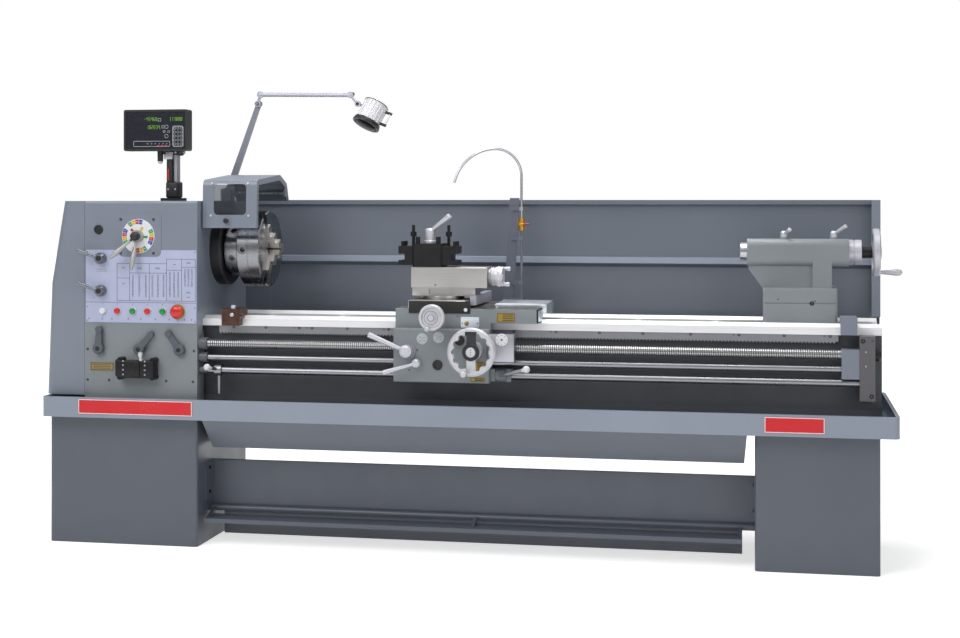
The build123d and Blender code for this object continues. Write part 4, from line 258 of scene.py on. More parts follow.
# Finishes of one layer: key, name, how it is laid on, colour, roughness and other shader values
PLAIN_FINISHES = (
    # Enamels: an even film with a soft sheen
    ("black_enamel", "black enamel", enamel, "#101113", 0.45, {}),
    ("selector_enamel", "dark grey lever enamel", enamel, "#585d66", 0.4, {}),
    ("red_enamel", "red enamelled plate", enamel, "#dc1822", 0.3, {}),
    # Turned and ground metals: bright streaks along the tool's marks
    ("turned_steel", "turned and ground steel", turned, "#b4b5ba", 0.27, {}),
    # turned steel whose colour is darkened as a painted dark reflection of the surroundings, on the chuck and
    # spindle
    ("chuck_steel", "turned chuck steel", turned, "#85868b", 0.27, {}),
    ("jaw_steel", "ground jaw steel", ground, "#b5b1ab", 0.4, {}),
    ("ground_iron", "ground cast iron", ground, "#aaa8a6", 0.36, {}),
    ("brass", "worn brass", ground, "#8f8058", 0.4, {}),
    ("silver_plate", "silver plate", ground, "#dde3ea", 0.36, {}),
    # Satin metals: even and bright, with no drawn marks; blacked steel is dull and near black
    ("crank_steel", "satin crank steel", satin, "#d2d2d9", 0.38, {}),
    ("lever_aluminium", "cast aluminium lever", satin, "#abada9", 0.42, {}),
    ("lamp_aluminium", "anodised aluminium", satin, "#b9bac5", 0.42, {}),
    ("lamp_strut", "grey anodised strut", satin, "#8f919d", 0.42, {}),
    ("wheel_chrome", "faced handwheel", satin, "#cfcfd4", 0.4, {}),
    ("black_oxide", "blacked steel", blacked, "#1c1c1e", 0.42, {}),
    # Plastics and rubber: button caps shine, the rest is dull
    ("black_plastic", "black moulded plastic", moulded, "#121316", 0.45, {}),
    ("red_plastic", "red button plastic", moulded, "#d8201c", 0.28, {"Coat_Weight": 0.3}),
    ("green_plastic", "green button plastic", moulded, "#0f8f3c", 0.28, {"Coat_Weight": 0.3}),
    ("white_plastic", "white plastic", moulded, "#ecedf2", 0.25, {"Coat_Weight": 0.3}),
    ("belt_rubber", "belt rubber", moulded, "#1b1b1c", 0.7, {}),
    # Printed films, inks and etched plates: flat, even colours
    ("yellow_film", "yellow plate film", moulded, "#a88d3a", 0.4, {}),
    ("blue_ink", "blue dial ink", moulded, "#2440b0", 0.4, {}),
    ("green_ink", "green dial ink", moulded, "#2e9a6c", 0.4, {}),
    ("yellow_ink", "yellow dial ink", moulded, "#e0bf2e", 0.4, {}),
    ("red_ink", "red dial ink", moulded, "#c9302c", 0.4, {}),
    ("dial_white", "white dial face", moulded, "#eff0f4", 0.35, {}),
    ("plate_ink", "legend ink", moulded, "#262a3e", 0.5, {}),
    ("key_ink", "light key ink", moulded, "#a3a7ae", 0.4, {}),
    ("grey_disc", "etched aluminium disc", moulded, "#b9bcc0", 0.4, {}),
    # Clear acrylic is nearly invisible; the readout's glass is dark, and its figures glow
    ("acrylic", "clear acrylic", moulded, "#8f9399", 0.06, {"Transmission_Weight": 0.95, "IOR": 1.49}),
    ("dark_glass", "dark lamp glass", moulded, "#14151b", 0.35, {"IOR": 1.18}),
    ("display_glass", "display glass", moulded, "#171a26", 0.22,
     {"Coat_Weight": 0.4, "Coat_Roughness": 0.08}),
    ("lit_digit", "lit green digit", moulded, "#5f8f1e", 0.4,
     {"Emission_Color": linear("#6fa31c"), "Emission_Strength": 0.7}),
    ("lit_red", "lit red lamp", moulded, "#b8204a", 0.4,
     {"Emission_Color": linear("#c02450"), "Emission_Strength": 0.5}),
)


def plain(build, code, rough):
    """A finish that is the same all over."""
    return lambda tree, xyz: build(tree, xyz, linear(code), rough=rough)


def make_finishes(colours):
    paint = tuple(colours.machine_paint) + (1.0,)
    # painted shade: the cabinets, panel and pedal get a darker paint than the machine's, for the light falling
    # off towards the floor
    cabinet = tuple(colours.cabinet_paint) + (1.0,)
    casting = (paint[0] * 1.06, paint[1] * 1.04, paint[2] * 0.9, 1.0)      # a greyer shade of the paint
    plate = tuple(colours.plate_film) + (1.0,)
    bright, warm, grey = linear("#b4b5ba"), linear("#a9a6a2"), linear("#77787b")
    for key, name, build, code, rough, more in PLAIN_FINISHES:
        FINISH[key] = surface(name, plain(build, code, rough), **more)

    # Two-pack enamel on sheet steel: soft highlights that break up slightly over the orange peel
    FINISH["machine_enamel"] = surface(
        "sprayed enamel", lambda t, p: enamel(t, p, paint), Coat_Weight=0.25, Coat_Roughness=0.2)

    def tray(tree, xyz):
        # Painted light and shade: the rim is painted brighter than the paint as a highlight, and the trough under
        # it, which sees little light, is painted darker
        rim = enamel(tree, xyz, tint(paint, 1.28))
        shaded_trough = inside(tree, xyz, WIDE, WIDE, (0, 497))
        return over(tree, shaded_trough, enamel(tree, xyz, tint(paint, 0.74)), rim)
    FINISH["tray_enamel"] = surface("chip tray enamel", tray, Coat_Weight=0.3, Coat_Roughness=0.2)
    # the darker cabinet paint is painted shade, not a different enamel
    FINISH["cabinet_enamel"] = surface(
        "cabinet enamel in painted shade", lambda t, p: enamel(t, p, cabinet, 0.4), Coat_Weight=0.2, Coat_Roughness=0.25)

    def splash(tree, xyz):
        # Painted light and shade: the sheet is painted darker for the shade under the top lip, the rib's upper
        # face is painted a shade lighter as a highlight, and the end flange keeps the plain paint
        sheet = enamel(tree, xyz, tint(paint, 0.72), 0.33)
        # a lighter copy of the paint: the painted highlight on the rib's upper face
        light = enamel(tree, xyz, tint(paint, 1.6), 0.33)
        sheet = over(tree, inside(tree, xyz, WIDE, (350, 379.5), (1085, 1113)), light, sheet)
        return over(tree, inside(tree, xyz, (1540, 1584), (290, 303), WIDE), enamel(tree, xyz, paint, 0.36),
                    sheet)
    FINISH["guard_enamel"] = surface("splash guard enamel", splash, Coat_Weight=0.3, Coat_Roughness=0.15)
    # The same enamel on filled and rubbed castings: the light wanders over the filler
    FINISH["cast_enamel"] = surface(
        "enamelled casting", lambda t, p: enamel(t, p, casting, 0.42, 9.0, 0.12), Coat_Weight=0.2,
        Coat_Roughness=0.25)

    def headstock(tree, xyz):
        # Enamelled casting, but its fused fittings keep their own finish: the post, guard bar and stud
        base = enamel(tree, xyz, paint, 0.38, 9.0, 0.06)
        post = inside(tree, xyz, (-1260, -1150), (-110, -10), (1341.5, 1600))
        base = over(tree, post, blacked(tree, xyz, linear("#202226")), base)
        column = inside(tree, xyz, (-1200, -1150), (-110, -10), (1418, 1545))
        base = over(tree, column, ground(tree, xyz, linear("#a9abb0"), "Z", 0.4), base)
        bar = inside(tree, xyz, (-1022, -780), (130, 160), (1360, 1390))
        base = over(tree, bar, turned(tree, xyz, bright, "X", (0, 145, 1374)), base)
        stud = inside(tree, xyz, (-1560, -1490.5), WIDE, (600, 1400))
        return over(tree, stud, turned(tree, xyz, grey), base)
    FINISH["headstock_enamel"] = surface("enamelled headstock", headstock, Coat_Weight=0.2,
                                         Coat_Roughness=0.22)

    def bed(tree, xyz):
        # Ground hardened ways, white where they face up, on the casting, whose grey at the sides is painted
        # darker for the shade under the ways
        body = enamel(tree, xyz, linear("#4b4f55"), 0.5, 8.0, 0.25)
        ways = ground(tree, xyz, linear("#ededf0"), "X", 0.45)._replace(metal=0.4)
        return over(tree, inside(tree, xyz, WIDE, WIDE, (WAY_LOW - 1, 2000)), ways, body)
    FINISH["bed_finish"] = surface("casting in painted shade with ground ways", bed)

    def saddle(tree, xyz):
        base = enamel(tree, xyz, casting, 0.42, 9.0, 0.1)
        return over(tree, inside(tree, xyz, WIDE, WIDE, (934.4, 2000)), ground(tree, xyz, warm, "Y"), base)
    FINISH["saddle_finish"] = surface("enamelled saddle with scraped slides", saddle)

    def apron(tree, xyz):
        base = enamel(tree, xyz, tint(casting, 0.96), 0.42, 9.0, 0.1)
        dial = inside(tree, xyz, (129, 300), (-400, -150), (740, 850))
        return over(tree, dial, ground(tree, xyz, linear("#a9abb2"), "X", 0.4), base)
    FINISH["apron_finish"] = surface("enamelled apron with a bare dial case", apron)

    def fittings(tree, xyz):
        base = enamel(tree, xyz, linear("#5e5d60"), 0.45, 9.0, 0.15)
        block = inside(tree, xyz, (1400, 1471), (-400, 0), (640, 1000))
        base = over(tree, block, enamel(tree, xyz, tint(paint, 0.95)), base)
        stop = inside(tree, xyz, (-950, -840), (-400, 0), (800, 1000))
        return over(tree, stop, blacked(tree, xyz, linear("#4b3329"), 0.4), base)
    FINISH["fittings_finish"] = surface("rod bracket and stops", fittings)

    # Bare metals. Marks run the way the grinding wheel, the tool or the polishing mop went
    FINISH["oiled_steel"] = surface("oiled steel", lambda t, p: ground(t, p, linear("#5f5e62"), "Z", 0.35))

    def with_flange(tree, xyz, rod):
        # The rods turn in grey flanges on the gearbox's side
        flange = inside(tree, xyz, (-1026, -987), WIDE, WIDE)
        return over(tree, flange, enamel(tree, xyz, linear("#565b62"), 0.42), rod)
    FINISH["rod_steel"] = surface(
        "ground rod steel", lambda t, p: with_flange(t, p, ground(t, p, linear("#8b8c91"), "X", 0.3)))

    def screw_steel(tree, xyz):
        # Bright crests over flanks and roots painted darker for the shade in the thread's grooves, told apart by
        # the distance from the axis
        local = add(tree, "ShaderNodeVectorMath", {0: xyz, 1: (0, (SCREW_Y + BACK) / 1000, SCREW_Z / 1000)},
                    operation="SUBTRACT").outputs[0]
        flat = add(tree, "ShaderNodeVectorMath", {0: local, 1: (0, 1, 1)}, operation="MULTIPLY").outputs[0]
        radius = add(tree, "ShaderNodeVectorMath", {0: flat}, operation="LENGTH").outputs["Value"]
        crest = add(tree, "ShaderNodeMath", {0: radius, 1: (SCREW_CREST - 0.4) / 1000},
                    operation="GREATER_THAN").outputs[0]
        return over(tree, crest, ground(tree, xyz, linear("#b4b5ba"), "X", 0.3),
                    ground(tree, xyz, linear("#757370"), "X", 0.42))
    FINISH["screw_steel"] = surface("leadscrew steel", screw_steel)
    FINISH["satin_chrome"] = surface("satin chrome plate", lambda t,
                                     p: satin(t, p, linear("#cbccd4"), 0.36, 0.4))
    FINISH["dark_chrome"] = surface("dull chrome plate", lambda t,
                                    p: satin(t, p, linear("#7b7f86"), 0.28, 0.8))

    def hub_lever(tree, xyz):
        grip = satin(tree, xyz, linear("#abada9"), 0.42)
        hub = inside(tree, xyz, (-1284, -1248), (-345, -270), (1186, 1222))
        return over(tree, hub, moulded(tree, xyz, linear("#1a1b1d"), 0.3), grip)
    FINISH["hub_lever"] = surface("cast lever with a black hub", hub_lever)
    FINISH["rack_steel"] = surface("rack steel", lambda t, p: satin(t, p, linear("#8d8f94"), 0.42, 0.5))
    FINISH["lamp_shell"] = surface("white lamp shell", lambda t,
                                   p: satin(t, p, linear("#e4e4e9"), 0.33, 0.15))

    def wheel(tree, xyz):
        # Polished rim and hub; the upper spoke's near-black enamel is a painted dark reflection
        rim = satin(tree, xyz, linear("#cbcbd1"))
        dark_reflection_spoke = inside(tree, xyz, (56, 100), (-400, -376), (794, 862))
        return over(tree, dark_reflection_spoke, enamel(tree, xyz, linear("#2b2c2e"), 0.4), rim)
    FINISH["wheel_finish"] = surface("polished handwheel", wheel)

    def tail_wheel(tree, xyz):
        rim = satin(tree, xyz, linear("#c0c1c9"))
        boss = inside(tree, xyz, (1492.5, 1533), WIDE, WIDE)
        return over(tree, boss, blacked(tree, xyz, linear("#1d1d20")), rim)
    FINISH["tail_wheel_finish"] = surface("tailstock wheel", tail_wheel)

    def control_rod(tree, xyz):
        rod = with_flange(tree, xyz, ground(tree, xyz, linear("#8b8c91"), "X", 0.3))
        knob = inside(tree, xyz, (-990, -950), (-340, -296), (670, 730))
        return over(tree, knob, moulded(tree, xyz, linear("#e9e9ec"), 0.25), rod)
    FINISH["control_rod_finish"] = surface("control rod with a white ball", control_rod)

    def control_lever(tree, xyz):
        arm = satin(tree, xyz, linear("#a2a4ab"))
        collar = inside(tree, xyz, (140, 212), (-290, -215), (655, 715))
        arm = over(tree, collar, enamel(tree, xyz, linear("#7c8288"), 0.4), arm)
        knob = inside(tree, xyz, (255, 300), (-360, -312), (698, 742))
        return over(tree, knob, moulded(tree, xyz, linear("#e9e9ec"), 0.25), arm)
    FINISH["control_lever_finish"] = surface("control lever with a white ball", control_lever)

    def coolant(tree, xyz):
        # Grey strip post, grey hose below the valve, bright pipe above it, brass valve, red tap
        pipe = ground(tree, xyz, bright, "Z", 0.25)
        post = inside(tree, xyz, (60, 163), (150, 225), (930, 1360))
        base = over(tree, post, enamel(tree, xyz, linear("#666b78"), 0.4), pipe)
        hose = inside(tree, xyz, (163.5, 178), (190, 214), (930, 1222))
        base = over(tree, hose, moulded(tree, xyz, linear("#74777e"), 0.4), base)
        valve = inside(tree, xyz, (155, 185), (175, 222), (1221, 1273))
        base = over(tree, valve, ground(tree, xyz, linear("#c9963a"), "Z", 0.3), base)
        tap = inside(tree, xyz, (182, 220), (170, 195), (1240, 1256))
        return over(tree, tap, moulded(tree, xyz, linear("#c92a22"), 0.3), base)
    FINISH["coolant_finish"] = surface("coolant pipe and post", coolant)

    FINISH["plate_film"] = surface("legend plate film", lambda t, p: moulded(t, p, plate, 0.35, 3.0),
                                   Coat_Weight=0.2, Coat_Roughness=0.2)


# Shapes, all drawn in machine millimetres

def finish_piece(name, bm, finish, body, angle=32.0, metres=False):
    """Makes a finished piece from a bmesh and lets it ride on a body."""
    bmesh.ops.remove_doubles(bm, verts=bm.verts, dist=1e-6 if metres else 0.002)
    bmesh.ops.recalc_face_normals(bm, faces=bm.faces)
    if not metres:
        bmesh.ops.translate(bm, vec=(0, BACK, 0), verts=bm.verts)
        bmesh.ops.scale(bm, vec=(0.001, 0.001, 0.001), verts=bm.verts)
    mesh = bpy.data.meshes.new(name)
    bm.to_mesh(mesh)
    bm.free()
    mesh.materials.append(FINISH[finish])
    mesh.polygons.foreach_set("use_smooth", [True] * len(mesh.polygons))
    mesh.set_sharp_from_angle(angle=radians(angle))
    piece = bpy.data.objects.new(name, mesh)
    bpy.context.scene.collection.objects.link(piece)
    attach(piece, body)
    return piece


def block(bm, x, y, z, edge=0.0, steps=2, turn_by=None):
    """A block between three (low, high) pairs, its edges rounded by edge."""
    verts = bmesh.ops.create_cube(bm, size=1.0)["verts"]
    bmesh.ops.scale(bm, vec=(x[1] - x[0], y[1] - y[0], z[1] - z[0]), verts=verts)
    bmesh.ops.translate(bm, vec=((x[0] + x[1]) / 2, (y[0] + y[1]) / 2, (z[0] + z[1]) / 2), verts=verts)
    if turn_by:
        bmesh.ops.transform(bm, matrix=turn_by, verts=verts)
    if edge:
        edges = list({e for v in verts for e in v.link_edges})
        bmesh.ops.bevel(bm, geom=edges, offset=edge, segments=steps, profile=0.5, affect="EDGES",
                        clamp_overlap=True, material=-1)


def plate(bm, x, z, y, corner=4.0):
    """A flat plate on a front face with rounded corners."""
    verts = bmesh.ops.create_cube(bm, size=1.0)["verts"]
    bmesh.ops.scale(bm, vec=(x[1] - x[0], y[1] - y[0], z[1] - z[0]), verts=verts)
    bmesh.ops.translate(bm, vec=((x[0] + x[1]) / 2, (y[0] + y[1]) / 2, (z[0] + z[1]) / 2), verts=verts)
    edges = [e for e in {e for v in verts for e in v.link_edges}
             if abs(e.verts[0].co.y - e.verts[1].co.y) > 1e-4]
    bmesh.ops.bevel(bm, geom=edges, offset=corner, segments=4, profile=0.5, affect="EDGES",
                    clamp_overlap=True, material=-1)


def frame_line(bm, x, z, y, width, corner=3.0):
    """A thin raised outline round a rectangle on a front face."""
    verts = bmesh.ops.create_cube(bm, size=1.0)["verts"]
    bmesh.ops.scale(bm, vec=(x[1] - x[0], 0.3, z[1] - z[0]), verts=verts)
    bmesh.ops.translate(bm, vec=((x[0] + x[1]) / 2, y, (z[0] + z[1]) / 2), verts=verts)
    edges = [e for e in {e for v in verts for e in v.link_edges}
             if abs(e.verts[0].co.y - e.verts[1].co.y) > 1e-4]
    made = bmesh.ops.bevel(bm, geom=edges, offset=corner, segments=3, profile=0.5, affect="EDGES",
                           clamp_overlap=True, material=-1)
    ring = set(made["faces"]) | {f for face in made["faces"] for e in face.edges for f in e.link_faces}
    bm.normal_update()
    front = [f for f in ring if abs(f.normal.y) > 0.9 and f.calc_center_median().y < y]
    bmesh.ops.inset_region(bm, faces=front, thickness=width, use_even_offset=True)
    bmesh.ops.delete(bm, geom=front + [f for f in ring - set(front) if f.is_valid], context="FACES")


def turn(bm, outline, place, axis, steps=32, closed=False):
    """A turned shape from (distance along the axis, radius) points."""
    axis = Vector(axis).normalized()
    side = axis.orthogonal().normalized()
    verts = [bm.verts.new(Vector(place) + axis * s + side * r) for s, r in outline]
    edges = [bm.edges.new(pair) for pair in zip(verts, verts[1:])]
    if closed:
        edges.append(bm.edges.new((verts[-1], verts[0])))
    bmesh.ops.spin(bm, geom=verts + edges, cent=place, axis=axis, angle=2 * pi, steps=steps, use_merge=True)


def bar(bm, start, end, radius, end_radius=None, steps=20):
    """A round bar between two points, tapered where the end radius differs."""
    start, end = Vector(start), Vector(end)
    way = end - start
    spin = Vector((0, 0, 1)).rotation_difference(way).to_matrix().to_4x4()
    bmesh.ops.create_cone(bm, cap_ends=True, segments=steps, radius1=radius,
                          radius2=radius if end_radius is None else end_radius, depth=way.length,
                          matrix=Matrix.Translation((start + end) / 2) @ spin)


def socket_screw(bm, place, axis, radius=4.5, rise=2.5):
    """The head of a socket cap screw: a low round head with a six-sided hole."""
    turn(bm, [(-1, radius), (rise - 0.7, radius), (rise, radius - 0.7), (rise, radius * 0.55)], place, axis,
         16)
    turn(bm, [(rise, radius * 0.55), (rise - 2.2, radius * 0.5), (rise - 2.2, 0)], place, axis, 6)


def figures(bm, text, x, z, y, size, down="CENTER", spacing=1.0):
    """Plain figures on a front face, centred on x; a column of them takes its spacing."""
    curve = bpy.data.curves.new("figures", "FONT")
    curve.body, curve.size, curve.resolution_u, curve.extrude = text, size, 1, 0.12
    curve.align_x, curve.align_y, curve.space_line = "CENTER", down, spacing
    holder = bpy.data.objects.new("figures", curve)
    mesh = bpy.data.meshes.new_from_object(holder)
    mesh.transform(Matrix.Translation((x, y, z)) @ Matrix.Rotation(pi / 2, 4, "X"))
    bm.from_mesh(mesh)
    bpy.data.objects.remove(holder)
    bpy.data.curves.remove(curve)
    bpy.data.meshes.remove(mesh)


def single(name, finish, body, shape, *values, **more):
    """A finished piece made of one shape."""
    bm = bmesh.new()
    shape(bm, *values, **more)
    return finish_piece(name, bm, finish, body)


def screws(name, body, finish, groups):
    """One piece of many screw heads: each group is a list of places, an outward axis, radius and rise."""
    bm = bmesh.new()
    for places, axis, radius, rise in groups:
        for place in places:
            socket_screw(bm, place, axis, radius, rise)
    return finish_piece(name, bm, finish, body)


def loose_parts(node):
    """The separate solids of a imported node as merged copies, largest first."""
    whole = bmesh.new()
    whole.from_mesh(NODES[node].data)
    bmesh.ops.remove_doubles(whole, verts=whole.verts, dist=1e-6)
    whole.faces.ensure_lookup_table()
    todo, parts = set(whole.faces), []
    while todo:
        island, edge = set(), {next(iter(todo))}
        while edge:
            island |= edge
            edge = {n for f in edge for e in f.edges for n in e.link_faces} - island
        todo -= island
        indices = {f.index for f in island}
        copy = whole.copy()
        bmesh.ops.delete(copy, geom=[f for f in copy.faces if f.index not in indices], context="FACES")
        parts.append(copy)
    whole.free()
    return sorted(parts, key=lambda part: -sum(f.calc_area() for f in part.faces))


FRONTWARD = (0, -1, 0)


class MakingStep:
    """What every making step shares."""
    bl_options = {"REGISTER", "UNDO"}


class LATHE_OT_finishes(MakingStep, bpy.types.Operator):
    """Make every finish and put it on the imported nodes"""
    bl_idname = "lathe.finishes"
    bl_label = "Finishes"

    def execute(self, context):
        make_finishes(context.scene.lathe_colours)
        for name, node in NODES.items():
            node.data.materials.clear()
            node.data.materials.append(FINISH[NODE_FINISH.get(name, "machine_enamel")])
        for name, node in NODES.items():
            soften(node, context.scene.lathe_sizes.edge_round if name in ROUNDED else 0)
        return {"FINISHED"}


def soften(node, radius):
    """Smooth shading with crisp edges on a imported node, by modifiers that leave its mesh alone."""
    weld = node.modifiers.new("weld", "WELD")
    weld.merge_threshold = 1e-6
    if radius:
        bevel = node.modifiers.new("edge round", "BEVEL")
        bevel.width, bevel.segments = radius / 1000, 2
        bevel.limit_method, bevel.angle_limit = "ANGLE", radians(50)
        bevel.use_clamp_overlap = True
    smooth = node.modifiers.new("smooth by angle", "NODES")
    smooth.node_group = smooth_group()


def smooth_group():
    """A node group that shades smooth and keeps edges over 30 degrees sharp."""
    found = bpy.data.node_groups.get("smooth by angle")
    if found:
        return found
    tree = bpy.data.node_groups.new("smooth by angle", "GeometryNodeTree")
    tree.interface.new_socket("Geometry", in_out="INPUT", socket_type="NodeSocketGeometry")
    tree.interface.new_socket("Geometry", in_out="OUTPUT", socket_type="NodeSocketGeometry")
    start = add(tree, "NodeGroupInput").outputs[0]
    angle = add(tree, "GeometryNodeInputMeshEdgeAngle").outputs["Unsigned Angle"]
    sharp = add(tree, "FunctionNodeCompare", {0: angle, 1: radians(30)}, operation="LESS_EQUAL").outputs[0]
    faces = add(tree, "GeometryNodeSetShadeSmooth", {"Geometry": start}, domain="FACE").outputs[0]
    edges = add(tree, "GeometryNodeSetShadeSmooth", {"Geometry": faces, "Shade Smooth": sharp},
                domain="EDGE").outputs[0]
    add(tree, "NodeGroupOutput", {0: edges})
    return tree


class LATHE_OT_stage(MakingStep, bpy.types.Operator):
    """Make the pale floor, the soft lights and the camera at the photograph's view"""
    bl_idname = "lathe.stage"
    bl_label = "Stage"

    def execute(self, context):
        stage = context.scene.lathe_stage
        bm = bmesh.new()
        bmesh.ops.create_grid(bm, x_segments=1, y_segments=1, size=stage.floor_size / 2)
        bmesh.ops.translate(bm, vec=(0, 0, -0.0005), verts=bm.verts)
        mesh = bpy.data.meshes.new("floor")
        bm.to_mesh(mesh)
        bm.free()
        floor = bpy.data.objects.new("floor", mesh)
        context.scene.collection.objects.link(floor)
        mesh.materials.append(self.floor_material())
        self.world(context.scene)
        for name, place, aim, size, power in (
                ("key softbox", (-2.6, -4.2, 4.6), (0, 0, 0.9), (4.0, 3.0), stage.key_power),
                ("top softbox", (0.3, 0.2, 4.6), (0, 0.1, 0.8), (4.5, 1.4), stage.top_power),
                ("fill softbox", (4.2, -4.6, 2.6), (0, 0, 0.8), (3.0, 3.0), stage.fill_power)):
            light = bpy.data.lights.new(name, "AREA")
            light.shape, light.size, light.size_y, light.energy = "RECTANGLE", size[0], size[1], power
            lamp = bpy.data.objects.new(name, light)
            lamp.location = place
            lamp.rotation_euler = (Vector(aim) - Vector(place)).to_track_quat("-Z", "Y").to_euler()
            context.scene.collection.objects.link(lamp)
        view = bpy.data.cameras.new("photograph view")
        view.lens, view.sensor_width, view.shift_y = VIEW_LENS, 36.0, VIEW_SHIFT
        camera = bpy.data.objects.new("photograph view", view)
        camera.location = VIEW_PLACE
        camera.rotation_euler = (radians(90), 0, radians(VIEW_TURN))
        context.scene.collection.objects.link(camera)
        context.scene.camera = camera
        context.scene.view_settings.view_transform = "Standard"
        return {"FINISHED"}

    def floor_material(self):
        """A matt white floor that the camera sees almost white, with the object's shadow on it."""
        material = bpy.data.materials.new("studio floor")
        material.use_nodes = True
        tree = material.node_tree
        tree.nodes.clear()
        seen = add(tree, "ShaderNodeLightPath")
        direct = add(tree, "ShaderNodeMath", {0: seen.outputs["Is Camera Ray"], 1: seen.outputs["Is Glossy Ray"]},
                     operation="MAXIMUM").outputs[0]
        shadow = add(tree, "ShaderNodeBsdfDiffuse", {"Color": linear("#f4f4f4")}).outputs[0]
        reach = add(tree, "ShaderNodeVectorMath", {0: add(tree, "ShaderNodeTexCoord").outputs["Object"]},
                    operation="LENGTH").outputs["Value"]
        glow = add(tree, "ShaderNodeMapRange", {"Value": reach, "From Min": 1.6, "From Max": 4.5,
                                                "To Min": 0.62, "To Max": 1.0}).outputs[0]
        lift = add(tree, "ShaderNodeEmission", {"Color": (1, 1, 1, 1), "Strength": glow}).outputs[0]
        both = add(tree, "ShaderNodeAddShader", {0: shadow, 1: lift}).outputs[0]
        mixed = add(tree, "ShaderNodeMixShader", {0: direct, 1: shadow, 2: both}).outputs[0]
        add(tree, "ShaderNodeOutputMaterial", {"Surface": mixed})
        return material

    def world(self, scene):
        """A white surround for the camera and the bright metal, and a quieter one for the light."""
        world = bpy.data.worlds.new("studio surround")
        scene.world = world
        world.use_nodes = True
        tree = world.node_tree
        tree.nodes.clear()
        ray = add(tree, "ShaderNodeLightPath").outputs
        seen = add(tree, "ShaderNodeMath", {0: ray["Is Camera Ray"], 1: ray["Is Transmission Ray"]},
                   operation="MAXIMUM").outputs[0]
        height = add(tree, "ShaderNodeSeparateXYZ", {0: add(tree, "ShaderNodeTexCoord").outputs["Generated"]})
        gloss = add(tree, "ShaderNodeMapRange", {"Value": height.outputs["Z"], "From Min": -0.1,
                                                 "From Max": 0.75,
                                                 "To Min": 0.1, "To Max": 0.95}).outputs[0]
        level = add(tree, "ShaderNodeMix", {0: ray["Is Glossy Ray"], 2: 0.24, 3: gloss},
                    data_type="FLOAT").outputs[0]
        level = add(tree, "ShaderNodeMix", {0: seen, 2: level, 3: 1.0}, data_type="FLOAT").outputs[0]
        background = add(tree, "ShaderNodeBackground", {"Color": (1, 1, 1, 1), "Strength": level})
        add(tree, "ShaderNodeOutputWorld", {"Surface": background.outputs[0]})


